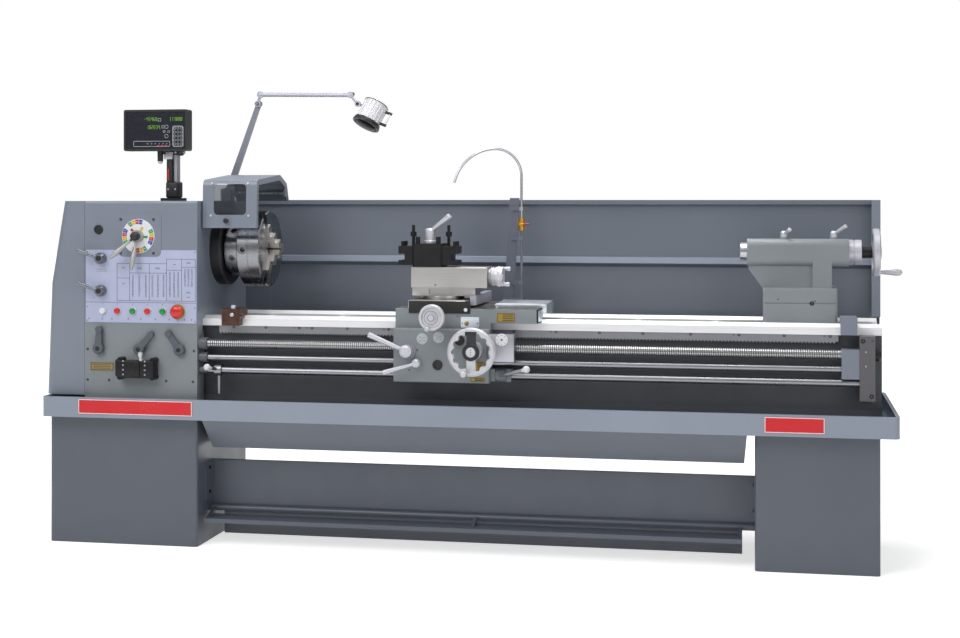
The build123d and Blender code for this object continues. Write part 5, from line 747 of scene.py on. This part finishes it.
class LATHE_OT_front_plates(MakingStep, bpy.types.Operator):
    """Make the plates, push buttons, sight plug and tumbler box on the front"""
    bl_idname = "lathe.front_plates"
    bl_label = "Front plates and buttons"

    def execute(self, context):
        piece = single("speed_plate", "machine_enamel", "frame", plate, (-1349, -1172), (1123, 1294),
                       (FRONT - 2, FRONT), 20)
        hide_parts("control_panel")
        self.speed_dial()
        self.legend()
        self.buttons()
        self.tumbler()
        self.small_plates()
        return {"FINISHED"}

    def speed_dial(self):
        """A white dial with an outer band of coloured sectors in four groups and plain figures."""
        x, z, radius = -1266.0, 1204.0, 67.0
        face = FRONT - 5
        single("dial_face", "dial_white", "frame", turn, [(0, 0), (-3, 0), (-3, radius - 1), (-2.2, radius),
                                                          (0, radius)], (x, FRONT - 2, z), (0, 1, 0), 64)
        inks = {"green_ink": bmesh.new(), "yellow_ink": bmesh.new(), "red_ink": bmesh.new(),
                "blue_ink": bmesh.new()}
        numbers = bmesh.new()
        order = list(inks)
        speeds = iter((36, 60, 95, 150, 250, 400, 600, 900, 50, 80, 130, 200, 320, 500, 800, 1600))
        for start in (70, 150, 245, 325):
            for i, ink in enumerate(order):
                middle = start + 15.5 * i
                self.sector(inks[ink], x, z, face - 0.3, 47, 65, middle - 7, middle + 7)
                a = radians(middle)
                figures(numbers, str(next(speeds)), x + 56 * sin(a), z + 56 * cos(a), face - 0.5, 7.5)
        for ink, start in (("red_ink", 305), ("blue_ink", 232), ("green_ink", 88), ("yellow_ink", 20)):
            self.sector(inks[ink], x, z, face - 0.3, 24, 40, start, start + 16)
        for ink, mesh in inks.items():
            finish_piece("dial_" + ink, mesh, ink, "frame")
        finish_piece("dial_figures", numbers, "dial_white", "frame")

    def sector(self, bm, x, z, y, inner, outer, start, end):
        """One coloured sector, clockwise from straight up: an edge spun round the dial."""
        a = radians(start)
        verts = [bm.verts.new((x + r * sin(a), y, z + r * cos(a))) for r in (inner, outer)]
        edge = bm.edges.new(verts)
        bmesh.ops.spin(bm, geom=verts + [edge], cent=(x, y, z), axis=(0, 1, 0), angle=radians(end - start),
                       steps=4)

    def legend(self):
        """The pale plate with ruled tables, columns of plain figures and a row of small marks."""
        single("legend_plate", "plate_film", "frame", plate, (-1485, -1028), (866, 1150),
               (FRONT - 1.8, FRONT), 5)
        face = FRONT - 2.0
        bm = bmesh.new()
        block(bm, (-1485, -1028), (face, face + 0.2), (944.2, 945.6))
        for x, top in ((-1354, 1097), (-1302, 1097), (-1221, 1097), (-1150, 1115), (-1088, 1115),
                       (-1032, 1115)):
            block(bm, (x - 0.7, x + 0.7), (face, face + 0.2), (952, top))
        for left, right, z in ((-1354, -1150, 1097), (-1150, -1032, 1115), (-1354, -1032, 952),
                               (-1302, -1150, 1060),
                               (-1150, -1088, 1072), (-1088, -1032, 1084), (-1354, -1302, 1040)):
            block(bm, (left, right), (face, face + 0.2), (z - 0.7, z + 0.7))
        for column, (x, top, rows) in enumerate((
                (-1289, 1054, 15), (-1262, 1054, 15), (-1235, 1054, 15), (-1208, 1054, 15), (-1185, 1054, 15),
                (-1162, 1054, 15), (-1136, 1066, 17), (-1119, 1066, 17), (-1102, 1066, 17), (-1074, 1078, 12),
                (-1060, 1078, 12), (-1046, 1078, 12))):
            values = [str((7 * column + 3 * row) % 89 + 10) for row in range(rows)]
            figures(bm, "\n".join(values), x, top, face, 7.4, "TOP", 0.78)
        for x, z, size in ((-1262, 1078, 13), (-1187, 1078, 13), (-1328, 1080, 9), (-1328, 1018, 8),
                           (-1118, 1094, 8),
                           (-1060, 1100, 11), (-1060, 985, 11), (-1060, 967, 9)):
            figures(bm, "000", x, z, face, size)
        for z in (1073, 1065):
            figures(bm, "0 0 0 0 0 0 0 0 0", -1418, z, face, 6.5)
        for x in (-1471, -1416, -1376, -1308, -1256, -1196, -1138, -1104, -1077, -1048):
            figures(bm, "0", x, 880, face, 14)
        for x, z in ((-1462, 1092), (-1452, 962), (-1414, 938), (-1353, 938), (-1290, 938), (-1229, 938),
                     (-1166, 938)):
            figures(bm, "00", x, z, face, 6)
        finish_piece("legend_tables", bm, "plate_ink", "frame")

    def buttons(self):
        """Four push buttons and a pilot lamp in bright rims, and the yellow ring of the stop button."""
        rims = bmesh.new()
        for x, finish in ((-1414, "white_plastic"), (-1353, "red_plastic"), (-1289, "green_plastic"),
                          (-1228, "red_plastic"), (-1165, "green_plastic")):
            place = (x, FRONT - 1.8, 911)
            turn(rims, [(0, 16), (2.5, 16), (4.5, 14.5), (4.5, 12.6), (1, 12.4)], place, FRONTWARD, 32)
            single(f"button_{-x}", finish, "frame", turn, [(0, 12.2), (9, 12), (11.5, 10.5), (12.4, 8),
                                                           (12.4, 0)], place, FRONTWARD, 28)
        finish_piece("button_rims", rims, "satin_chrome", "frame")
        single("stop_ring", "yellow_film", "frame", turn, [(0, 10.4), (4, 10.4), (4, 28.5), (3, 29.5),
                                                           (0, 29.5)], (-1103, FRONT - 1.8,
                                                                        911), FRONTWARD, 40, True)

    def tumbler(self):
        """The black tumbler box with two rows of set screws, corner bosses and its spring knob."""
        bm = bmesh.new()
        block(bm, (-1345, -1319), (FRONT - 47, FRONT), (660, 726), 7, 3)
        block(bm, (-1336, -1184), (FRONT - 52, FRONT), (655, 722), 5, 3)
        for x in (-1328, -1194):
            for z in (658, 722):
                bar(bm, (x, FRONT, z), (x, FRONT - 38, z), 12)
        block(bm, (-1283, -1239), (FRONT - 56, FRONT - 40), (660, 718), 3)
        finish_piece("tumbler_box", bm, "black_oxide", "frame")
        screws("tumbler_screws", "frame", "satin_chrome", [
            ([(x, FRONT - 52, z) for x in (-1308, -1219) for z in (669, 687, 705, 721)], FRONTWARD, 3.2,
             1.5)])
        single("tumbler_knob", "satin_chrome", "frame", turn, [(0, 7), (18, 7), (20, 6), (32, 9), (40, 9.5),
                                                               (45, 7),
                                                               (46, 0)], (-1239, FRONT - 38, 712), (0, -0.25,
                                                                                                    1), 24)

    def small_plates(self):
        """The sight plug, the bare brass plate, and the two bare red plates on the tray's rim."""
        single("sight_plug", "black_plastic", "frame", turn, [(0, 18.5), (4, 18), (6, 16), (6, 12),
                                                              (3.5, 11), (3.5, 7), (5, 6),
                                                              (5, 0)], (-1432, FRONT, 1229), FRONTWARD, 32)
        single("brass_plate", "brass", "frame", plate, (-1466, -1368), (676, 709), (FRONT - 1.5, FRONT), 2)
        bm = bmesh.new()
        frame_line(bm, (-1464, -1370), (678, 707), FRONT - 1.7, 2.5, 1.5)
        for z in (699, 692.5, 686):
            block(bm, (-1453, -1381), (FRONT - 1.8, FRONT - 1.5), (z - 1, z + 1))
        finish_piece("brass_plate_marks", bm, "black_plastic", "frame")
        red, line = bmesh.new(), bmesh.new()
        for x, z in (((-1488, -1021), (514, 572)), ((1136, 1348), (512, 570))):
            plate(red, x, z, (TRAY_FRONT - 1.5, TRAY_FRONT), 3)
            frame_line(line, (x[0] + 1, x[1] - 1), (z[0] + 1, z[1] - 1), TRAY_FRONT - 1.7, 3, 2)
        finish_piece("rim_plates", red, "red_enamel", "frame")
        finish_piece("rim_plate_lines", line, "dial_white", "frame")


class LATHE_OT_screws(MakingStep, bpy.types.Operator):
    """Make the socket screws, pins and bolts on the fixed castings"""
    bl_idname = "lathe.screws"
    bl_label = "Screws and bolts"

    def execute(self, context):
        size = context.scene.lathe_sizes.screw_radius
        face = [(-1478, FRONT, 760), (-1478, FRONT, 640), (-1388, FRONT, 640), (-1152, FRONT, 641),
                (-1042, FRONT, 640), (-1038, FRONT, 760)]
        plates = [(x, FRONT - 2, z) for x in (-1339, -1203) for z in (1137, 1269)]
        legend = [(x, FRONT - 1.8, z) for x in (-1479, -1034) for z in (873, 926, 1142)]
        rack = [(x, RACK_FRONT, 850) for x in (-900, -770, -635, -584, -443, -279, -118, 45, 207, 367, 530,
                                               692,
                                                868, 1044, 1207, 1371)]
        pins = [(x, RACK_FRONT, 850) for x in (-655, -604, -298, 347, 1025, 1351)]
        bracket = [(1483, -281, 840), (1513, -281, 643)]
        tail = [(1308, -144, 964)]
        kick = [(-1021, -150, z) for z in (194, 289)]
        screws("black_screws", "frame", "black_oxide", [
            (face, FRONTWARD, size, 2), (plates, FRONTWARD, size + 0.5, 2), (legend, FRONTWARD, 2.2, 1),
            (rack, FRONTWARD, 5.5, 1.2), (pins, FRONTWARD, 2.8, 0.8), (bracket, FRONTWARD, 8, 1.5),
            ([(1515, -281, 841)], FRONTWARD, 3, 0.8), ([(-925, -252, 878), (-868, -252, 879)], FRONTWARD, 4,
                                                       1),
            (kick, (1, 0, 0), 7, 4), ([(1098, -150, z) for z in (194, 289)], (-1, 0, 0), 7, 4)])
        screws("bracket_pins", "frame", "satin_chrome", [
            ([(1493, -281, 801), (1493, -281, 750)], FRONTWARD, 3.2, 1)])
        screws("tailstock_screws", "tailstock", "black_oxide", [
            (tail, FRONTWARD, 8, 1.5), ([(1185, -144, 978), (1319, -144, 972)], FRONTWARD, 3, 1)])
        bm = bmesh.new()
        turn(bm, [(0, 7), (14, 7), (15, 10), (26, 10), (28, 8), (28, 0)], (-893, -236, 908), (0, 0, 1), 24)
        turn(bm, [(0, 8), (3, 8), (6, 5), (6, 0)], (-893, -252, 900), FRONTWARD, 20)
        finish_piece("stop_knob", bm, "satin_chrome", "frame")
        return {"FINISHED"}


class LATHE_OT_lever_details(MakingStep, bpy.types.Operator):
    """Make the dark plugs in the levers' hubs and the dome over the speed levers"""
    bl_idname = "lathe.lever_details"
    bl_label = "Lever details"

    def execute(self, context):
        single("speed_dome", "black_plastic", "speed_short", turn,
               [(0, 17), (3, 16.5), (8, 13), (11, 8), (12, 0)], (-1266, -318.9, 1204), FRONTWARD, 32)
        for body, z in (("range_lever", 1117), ("reverse_lever", 990)):
            single(body + "_plug", "black_plastic", body, turn, [(0, 10.5), (3, 10.5), (5, 8.5), (5, 0)],
                   (-1419, -309.3, z), FRONTWARD, 28)
        for i, x in enumerate((-1428, -1260, -1094)):
            single(f"selector_plug_{i + 1}", "black_plastic", f"selector_{i + 1}", turn,
                   [(0, 8.5), (2, 8.5), (4, 6.5), (4, 0)], (x, -299.3, 764), FRONTWARD, 24)
        return {"FINISHED"}


class LATHE_OT_splash_end(MakingStep, bpy.types.Operator):
    """Make the splash guard's left end, which reaches behind the chuck"""
    bl_idname = "lathe.splash_end"
    bl_label = "Splash guard end"

    def execute(self, context):
        left, right, back, low, top = -1080.0, -943.5, 383.0, 503.0, 1345.0
        bm = bmesh.new()
        block(bm, (left, right), (back - 3, back), (low, top))
        block(bm, (left, right), (back - 21, back - 3), (top - 3, top))
        block(bm, (left, right), (back - 21, back - 18), (top - 18, top))
        block(bm, (1549, 1583), (297.5, 300.5), (884, 1345))
        finish_piece("splash_end", bm, "guard_enamel", "frame")
        return {"FINISHED"}


class LATHE_OT_readout(MakingStep, bpy.types.Operator):
    """Make the readout's lit face, keys and its clamp on the post"""
    bl_idname = "lathe.readout"
    bl_label = "Digital readout"

    SEGMENTS = {"0": "abcdef", "1": "bc", "2": "abdeg", "3": "abcdg", "4": "bcfg", "5": "acdfg",
                "6": "acdefg",
                "7": "abc", "8": "abcdefg", "9": "abcdfg", "-": "g"}

    def execute(self, context):
        face = DISPLAY_FRONT + 2.4
        single("display_glass", "display_glass", "display", plate, (-1373, -1125), (1550, 1695),
               (face, face + 1), 5)
        lit = bmesh.new()
        for text, right, z in (("-4546.8", -1239, 1667), ("1178.88", -1134, 1667),
                               ("10203.4", -1228, 1635)):
            self.number(lit, text, right, z, face - 0.4)
        finish_piece("display_digits", lit, "lit_digit", "display")
        keys = bmesh.new()
        for x, z, w, h in ((-1232, 1664, 13, 13), (-1218, 1636, 12, 12)):
            frame_line(keys, (x - w / 2, x + w / 2), (z - h / 2, z + h / 2), face - 0.3, 2, 2)
        frame_line(keys, (-1178, -1132), (1556, 1640), face - 0.3, 3.5, 8)
        for row in range(5):
            for column in range(3):
                x, z = -1169 + column * 14, 1630 - row * 15.6
                turn(keys, [(0, 5.6), (0.6, 5.6), (0.6, 4.2), (0.3, 4.0)], (x, face, z), FRONTWARD, 14)
                figures(keys, str((row * 3 + column + 1) % 10), x, z, face - 0.3, 6)
        frame_line(keys, (-1343, -1188), (1557, 1580), face - 0.3, 2.2, 5)
        for x, z, r in ((-1203, 1636, 8), (-1213, 1617, 5), (-1194, 1617, 5), (-1203, 1599, 8)):
            turn(keys, [(0, r), (0.6, r), (0.6, r - 1.8), (0.3, r - 2)], (x, face, z), FRONTWARD, 16)
        for i in range(6):
            turn(keys, [(0, 2.6), (0.5, 2.6), (0.5, 1.4), (0.3, 1.2)], (-1282 + i * 16, face, 1569),
                 FRONTWARD, 12)
        finish_piece("display_keys", keys, "key_ink", "display")
        bm = bmesh.new()
        for x in (-1238, -1222, -1206):
            block(bm, (x - 4.5, x + 4.5), (face - 0.5, face), (1559.5, 1562.5))
        finish_piece("display_lamps", bm, "lit_red", "display")
        bm = bmesh.new()
        block(bm, (-1230, -1178), (-92, -34), (1353, 1418), 7, 3)
        bar(bm, (-1250, -96, 1500), (-1250, -96, 1540), 11, 12)
        block(bm, (-1226, -1202), (-92, -76), (1415, 1508), 3)
        finish_piece("post_clamp", bm, "black_plastic", "frame")
        single("post_block", "satin_chrome", "frame", block, (-1236, -1202), (-96, -78), (1508, 1537), 2)
        single("clamp_tip", "white_plastic", "frame", turn, [(0, 10), (6, 9), (10, 5), (11, 0)],
               (-1250, -96, 1500), (0, 0, -1), 20)
        screws("post_screws", "frame", "satin_chrome", [([(-1219, -92, 1388), (-1189, -92, 1388)], FRONTWARD,
                                                         4, 1.5)])
        single("post_stripe", "red_ink", "frame", block, (-1220, -1214), (-93.5, -92), (1424, 1470))
        return {"FINISHED"}

    def number(self, bm, text, right, z, y):
        """Seven-segment figures, right-aligned."""
        wide, tall, thick, pitch = 6.2, 15.0, 1.5, 9.6
        x = right
        for sign in reversed(text):
            if sign == ".":
                block(bm, (x + wide + 0.6, x + wide + 2.2), (y, y + 0.3), (z - tall / 2, z - tall / 2 + 1.6))
                continue
            x -= pitch
            places = {"a": ((0, wide), (tall / 2 - thick, tall / 2)),
                      "g": ((0, wide), (-thick / 2, thick / 2)),
                      "d": ((0, wide), (-tall / 2, -tall / 2 + thick)), "f": ((0, thick), (0, tall / 2)),
                      "e": ((0, thick), (-tall / 2, 0)), "b": ((wide - thick, wide), (0, tall / 2)),
                      "c": ((wide - thick, wide), (-tall / 2, 0))}
            for letter in self.SEGMENTS[sign]:
                across, up = places[letter]
                block(bm, (x + across[0], x + across[1]), (y, y + 0.3), (z + up[0] + 0.3, z + up[1] - 0.3))


class LATHE_OT_chuck_guard(MakingStep, bpy.types.Operator):
    """Make the guard's painted sheet, its clear window, screws and knob"""
    bl_idname = "lathe.chuck_guard"
    bl_label = "Chuck guard"

    def execute(self, context):
        sheet, pane = loose_parts("chuck_guard")[:2]
        piece = finish_piece("guard_sheet", sheet, "machine_enamel", "guard", metres=True)
        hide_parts("chuck_guard")
        finish_piece("guard_pane", pane, "acrylic", "guard", metres=True)
        screws("guard_screws", "guard", "white_plastic", [
            ([(-981, -233.5, 1410), (-835, -233.5, 1410), (-985, -237, 1284), (-831, -237, 1284)],
             FRONTWARD, 4.5, 2)])
        single("guard_knob", "black_plastic", "guard", turn, [(0, 6), (5, 6), (7, 9), (16, 10), (19, 8),
                                                              (20, 0)], (-920, -234, 1264), FRONTWARD, 28)
        return {"FINISHED"}


class LATHE_OT_leadscrew(MakingStep, bpy.types.Operator):
    """Make the leadscrew with a true helical thread between its plain ends"""
    bl_idname = "lathe.leadscrew"
    bl_label = "Leadscrew"

    def execute(self, context):
        pitch = context.scene.lathe_sizes.thread_pitch
        left, right, y, z, crest = -985.0, 1405.0, SCREW_Y, SCREW_Z, SCREW_CREST
        root = crest - 2.4
        turns = int((right - left) / pitch)
        bm = bmesh.new()
        verts = [bm.verts.new((left + pitch * share, y, z + radius)) for share, radius in
                 ((0, root), (0.3, root), (0.42, crest), (0.88, crest), (1.0, root))]
        edges = [bm.edges.new(pair) for pair in zip(verts, verts[1:])]
        steps = 14
        bmesh.ops.spin(bm, geom=verts + edges, cent=(0, y, z), axis=(1, 0, 0), dvec=(pitch / steps, 0, 0),
                       angle=2 * pi * turns, steps=steps * turns)
        piece = finish_piece("leadscrew_thread", bm, "screw_steel", "leadscrew", 40)
        bm = bmesh.new()
        turn(bm, [(-1075, 0), (-1075, crest), (-1024, crest), (-1024, 24), (-990, 24), (-990, crest),
                  (left + 4, crest),
                  (left + 4, 0)], (0, y, z), (1, 0, 0), 32)
        turn(bm, [(1399, 0), (1399, crest), (1527, crest), (1527, 0)], (0, y, z), (1, 0, 0), 32)
        finish_piece("leadscrew_ends", bm, "rod_steel", "leadscrew")
        single("leadscrew_nut", "black_oxide", "leadscrew", turn,
               [(1527.2, 0), (1527.2, 22), (1541, 22), (1545, 18), (1548, 17), (1548, 0)], (0, y, z),
               (1, 0, 0), 32)
        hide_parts("leadscrew")
        return {"FINISHED"}


class LATHE_OT_carriage(MakingStep, bpy.types.Operator):
    """Make the carriage's plates, dials, wipers, plugs and screws"""
    bl_idname = "lathe.carriage"
    bl_label = "Carriage details"

    def execute(self, context):
        self.saddle()
        self.apron()
        self.slides()
        return {"FINISHED"}

    def saddle(self):
        face = SADDLE_FRONT
        bm = bmesh.new()
        plate(bm, (152, 220), (887, 922), (face - 1, face), 3)
        plate(bm, (74, 113), (705, 741), (APRON_FRONT - 1, APRON_FRONT), 2)
        plate(bm, (58, 112), (667, 683), (APRON_FRONT - 1, APRON_FRONT), 2)
        finish_piece("yellow_plates", bm, "yellow_film", "carriage")
        bm = bmesh.new()
        for x, z, y, rows in (((152, 220), (887, 922), face, 4), ((74, 113), (705, 741), APRON_FRONT, 4),
                              ((58, 112), (667, 683), APRON_FRONT, 2)):
            frame_line(bm, (x[0] + 1, x[1] - 1), (z[0] + 1, z[1] - 1), y - 1.1, 1.6, 2)
            for row in range(rows):
                at = z[1] - (z[1] - z[0]) * (row + 1) / (rows + 1)
                block(bm, (x[0] + (x[1] - x[0]) * 0.3, x[1] - 6), (y - 1.3, y - 1.1), (at - 1.3, at + 1.3))
        finish_piece("yellow_plate_marks", bm, "black_plastic", "carriage")
        single("oiler_plate", "silver_plate", "carriage", plate, (14, 84), (865, 905), (face - 3, face), 3)
        single("oiler_plug", "brass", "carriage", turn, [(0, 9), (5, 9), (6, 7), (10, 7), (11, 5), (11, 0)],
               (36, face - 3, 881), FRONTWARD, 6)
        screws("saddle_screws", "carriage", "black_oxide", [
            ([(20, face - 3, 881), (78, face - 3, 882)], FRONTWARD, 3, 1),
            ([(0, face, 908)], FRONTWARD, 3, 0.6),
            ([(-145, APRON_FRONT, 782), (-177, APRON_FRONT, 706)], FRONTWARD, 3, 1)])
        single("way_wiper", "belt_rubber", "carriage", block, (301, 307), (-262, -150), (884, 935), 1)
        bm = bmesh.new()
        block(bm, (307, 310), (-258, -152), (890, 930), 1)
        block(bm, (126, 322), (-146, -143), (916, 950), 1)
        block(bm, (126, 322), (-146, 60), (949, 952), 1, turn_by=Matrix.Rotation(radians(1.5), 4, "X"))
        finish_piece("way_cover", bm, "silver_plate", "carriage")

    def apron(self):
        face = APRON_FRONT
        bm = bmesh.new()
        for x, z in ((-127, 824), (-64, 830)):
            turn(bm, [(0, 21), (1.2, 21), (1.6, 20), (1.6, 0)], (x, face, z), FRONTWARD, 32)
        finish_piece("direction_discs", bm, "grey_disc", "carriage")
        bm = bmesh.new()
        for x, z in ((-127, 824), (-64, 830)):
            for dx, dz in ((-8, 6), (7, 5), (-7, -7), (8, -6), (0, 0)):
                block(bm, (x + dx - 3, x + dx + 3), (face - 1.8, face - 1.6), (z + dz - 0.7, z + dz + 0.7))
        finish_piece("direction_marks", bm, "plate_ink", "carriage")
        bm = bmesh.new()
        for x, z in ((-68, 727), (16, 821)):
            turn(bm, [(0, 19), (4, 19), (6, 17), (6, 12), (3, 11), (3, 0)], (x, face, z), FRONTWARD, 28)
        finish_piece("apron_plugs", bm, "black_plastic", "carriage")
        single("thread_dial", "dial_white", "carriage", turn, [(0, 23), (4, 23), (5, 22), (5, 4), (3, 3),
                                                               (3, 0)], (178, -310, 826), FRONTWARD, 36)
        bm = bmesh.new()
        turn(bm, [(0, 3.4), (5.5, 3.4), (5.5, 0)], (178, -310, 826), FRONTWARD, 16)
        for i in range(8):
            spin = Matrix.Translation((178, 0, 826)) @ Matrix.Rotation(pi * i / 4, 4, "Y") @ \
                Matrix.Translation((-178, 0, -826))
            block(bm, (177.4, 178.6), (-315.3, -315.0), (841, 847), turn_by=spin)
        finish_piece("thread_dial_marks", bm, "plate_ink", "carriage")

    def slides(self):
        single("slide_wiper", "belt_rubber", "cross_slide", block, (-187, 50), (-266, -262.4), (918, 964), 1)
        single("wiper_screw", "white_plastic", "cross_slide", turn, [(0, 7), (3, 7), (4, 5), (4, 0)],
               (33, -266, 932), FRONTWARD, 20)
        single("readout_scale", "lamp_aluminium", "cross_slide", block, (33, 58), (-185, 148), (944, 982), 2)
        screws("top_slide_screws", "top_slide", "black_oxide", [([(-100, -190, 1020)], FRONTWARD, 3.5, 0.8)])


class LATHE_OT_wheels(MakingStep, bpy.types.Operator):
    """Make the hub caps and screws, the collars and their graduations, and the dark rings of the handwheels"""
    bl_idname = "lathe.wheels"
    bl_label = "Handwheel details"

    def execute(self, context):
        single("wheel_hub_ring", "black_enamel", "carriage_wheel", turn,
               [(0, 18), (0, 32), (6, 32), (8, 30), (8, 18)], (78, -396, 786), FRONTWARD, 40, True)
        single("wheel_hub_cap", "satin_chrome", "carriage_wheel", turn,
               [(0, 18), (9, 18), (10, 17), (10, 0)], (78, -396, 786), FRONTWARD, 32)
        screws("wheel_hub_screws", "carriage_wheel", "black_oxide", [
            ([(78, -406, 795), (78, -406, 777), (78, -406, 786)], FRONTWARD, 2.4, 0.5)])
        self.graduate("wheel_collar_lines", "carriage_wheel", (78, -336, 786), (0, 1, 0), 33.1, 44, 100)
        self.graduate("cross_collar_lines", "cross_wheel", (-70, -346, 911), (0, 1, 0), 30.1, 34, 80)
        self.graduate("top_collar_lines", "top_crank", (108.6, -128, 1052), (1, 0, 0), 36.6, 13, 80)
        self.graduate("tail_collar_lines", "tail_wheel", (1462, 0, 1149), (1, 0, 0), 47.1, 16, 100)
        single("top_crank_collars", "crank_steel", "top_crank", turn,
               [(0, 30.4), (0, 35), (2, 36.5), (11, 36.5), (13, 33), (16, 33), (18, 36.5), (27, 36.5),
                (29, 32.5), (33, 32.5), (35, 36.5), (43, 38), (46, 37),
                (46, 30.4)], (106.6, -128, 1052), (1, 0, 0), 48, True)
        bm = bmesh.new()
        turn(bm, [(0, 26), (0.5, 26), (0.5, 24.5), (0, 24.5)], (-70, -408, 911), FRONTWARD, 40, True)
        turn(bm, [(0, 12.5), (0.6, 12.5), (0.6, 11), (0, 11)], (-70, -410.2, 911), FRONTWARD, 32, True)
        finish_piece("cross_wheel_rings", bm, "plate_ink", "cross_wheel")
        return {"FINISHED"}

    def graduate(self, name, body, place, axis, radius, length, count):
        """Fine engraved lines round a collar, every fifth and tenth longer."""
        bm = bmesh.new()
        axis = Vector(axis)
        place = Vector(place)
        for i in range(count):
            reach = length * (0.75 if i % 10 == 0 else 0.55 if i % 5 == 0 else 0.38)
            turn_by = Matrix.Translation(place) @ Matrix.Rotation(2 * pi * i / count, 4, axis) @ \
                Matrix.Translation(-place)
            low = place + Vector((0, 0, radius - 0.25))
            far = low + axis * reach
            x, y = sorted((low.x, far.x)), sorted((low.y, far.y))
            if x[1] - x[0] < 0.5:
                x = [x[0] - 0.25, x[0] + 0.25]
            else:
                y = [y[0] - 0.25, y[0] + 0.25]
            block(bm, x, y, (low.z, low.z + 0.35), turn_by=turn_by)
        finish_piece(name, bm, "plate_ink", body)


class LATHE_OT_work_lamp(MakingStep, bpy.types.Operator):
    """Make the lamp's black rim, dark glass, handle ends and joint caps"""
    bl_idname = "lathe.work_lamp"
    bl_label = "Work lamp"

    def execute(self, context):
        bm = bmesh.new()
        for x, y, z, r in ((-950, 219.5, 1747, 7), (-518, 219.5, 1742, 6), (-541, 231.5, 1783, 8)):
            turn(bm, [(0, r), (4, r), (5, r - 1), (5, 0)], (x, y, z), FRONTWARD, 20)
        finish_piece("lamp_joint_caps", bm, "black_plastic", "lamp_upper")
        face, aim = Vector(LAMP_FACE), Vector(LAMP_AIM).normalized()
        start = face - aim * LAMP_LENGTH
        right = (Vector((1, 0, 0)) - aim * aim.x).normalized()
        bm = bmesh.new()
        turn(bm, [(-15, 54.3), (-14, 56), (0, 59.5), (4, 58.5), (4, 49), (0.6, 49), (0.6, 54.3)], face, aim,
             48, True)
        turn(bm, [(6, 51), (6, 52.8), (9, 53.2), (9, 51)], start, aim, 48, True)
        for reach in (26, 81):
            end = start + aim * reach + right * 76
            bar(bm, end - right * 23, end + right * 5.6, 6.2)
        finish_piece("lamp_rim", bm, "black_plastic", "lamp_head")
        single("lamp_lens", "dark_glass", "lamp_head", turn, [(0.8, 49.2), (6, 44), (10, 33), (12.5, 18),
                                                              (13.5, 0)], face, aim, 48)
        return {"FINISHED"}


class LatheColours(bpy.types.PropertyGroup):
    """The paints that a user would change."""
    machine_paint: FloatVectorProperty(
        name="Machine paint", description="Enamel of the headstock, carriage, tray and tailstock",
        subtype="COLOR",
        size=3, min=0.0, max=1.0, default=linear("#838b99")[:3])
    # a darker paint that stands for the shade falling towards the floor
    cabinet_paint: FloatVectorProperty(
        name="Cabinet paint", description="Enamel of the two cabinets, the panel and the pedal",
        subtype="COLOR",
        size=3, min=0.0, max=1.0, default=linear("#5b616c")[:3])
    plate_film: FloatVectorProperty(
        name="Legend plate", description="Ground colour of the legend plate", subtype="COLOR",
        size=3, min=0.0, max=1.0, default=linear("#bcc2df")[:3])


class LatheSizes(bpy.types.PropertyGroup):
    """The small sizes that a user would change, in millimetres."""
    screw_radius: FloatProperty(name="Screw head radius",
                                description="Radius of the cover screws' heads in mm",
                                default=4.5, min=2.0, max=10.0)
    thread_pitch: FloatProperty(name="Thread pitch", description="Pitch of the leadscrew's thread in mm",
                                default=8.0, min=4.0, max=24.0)
    edge_round: FloatProperty(name="Edge round", description="Rounding of the castings' edges in mm",
                              default=1.2, min=0.0, max=4.0)


class LatheStage(bpy.types.PropertyGroup):
    """The studio round the machine."""
    floor_size: FloatProperty(name="Floor size", description="Side of the square floor", default=60.0,
                              min=8.0,
                              max=200.0, unit="LENGTH")
    key_power: FloatProperty(name="Key light", description="Power of the large light at the front left",
                             default=150.0, min=0.0, max=5000.0, unit="POWER")
    top_power: FloatProperty(name="Top light", description="Power of the long light above", default=120.0,
                             min=0.0,
                             max=5000.0, unit="POWER")
    fill_power: FloatProperty(name="Fill light", description="Power of the light at the front right",
                              default=45.0,
                              min=0.0, max=5000.0, unit="POWER")


STEPS = (LATHE_OT_stage, LATHE_OT_finishes, LATHE_OT_front_plates, LATHE_OT_screws, LATHE_OT_lever_details,
         LATHE_OT_splash_end, LATHE_OT_readout, LATHE_OT_chuck_guard, LATHE_OT_leadscrew, LATHE_OT_carriage,
         LATHE_OT_wheels, LATHE_OT_work_lamp)


class LATHE_PT_panel(bpy.types.Panel):
    """The making steps and their values in the sidebar."""
    bl_label = "Engine lathe"
    bl_idname = "LATHE_PT_panel"
    bl_space_type = "VIEW_3D"
    bl_region_type = "UI"
    bl_category = "Lathe"

    def draw(self, context):
        for group in (context.scene.lathe_colours, context.scene.lathe_sizes, context.scene.lathe_stage):
            column = self.layout.column(align=True)
            for name in group.__annotations__:
                column.prop(group, name)
        for step in STEPS:
            self.layout.operator(step.bl_idname)


GROUPS = (LatheColours, LatheSizes, LatheStage)


def register():
    for kind in GROUPS + STEPS + (LATHE_PT_panel,):
        bpy.utils.register_class(kind)
    bpy.types.Scene.lathe_colours = PointerProperty(type=LatheColours)
    bpy.types.Scene.lathe_sizes = PointerProperty(type=LatheSizes)
    bpy.types.Scene.lathe_stage = PointerProperty(type=LatheStage)


def unregister():
    del bpy.types.Scene.lathe_stage, bpy.types.Scene.lathe_sizes, bpy.types.Scene.lathe_colours
    for kind in reversed(GROUPS + STEPS + (LATHE_PT_panel,)):
        bpy.utils.unregister_class(kind)


def main():
    register()
    for step in STEPS:
        group, name = step.bl_idname.split(".")
        getattr(getattr(bpy.ops, group), name)()


if __name__ == "__main__":
    main()
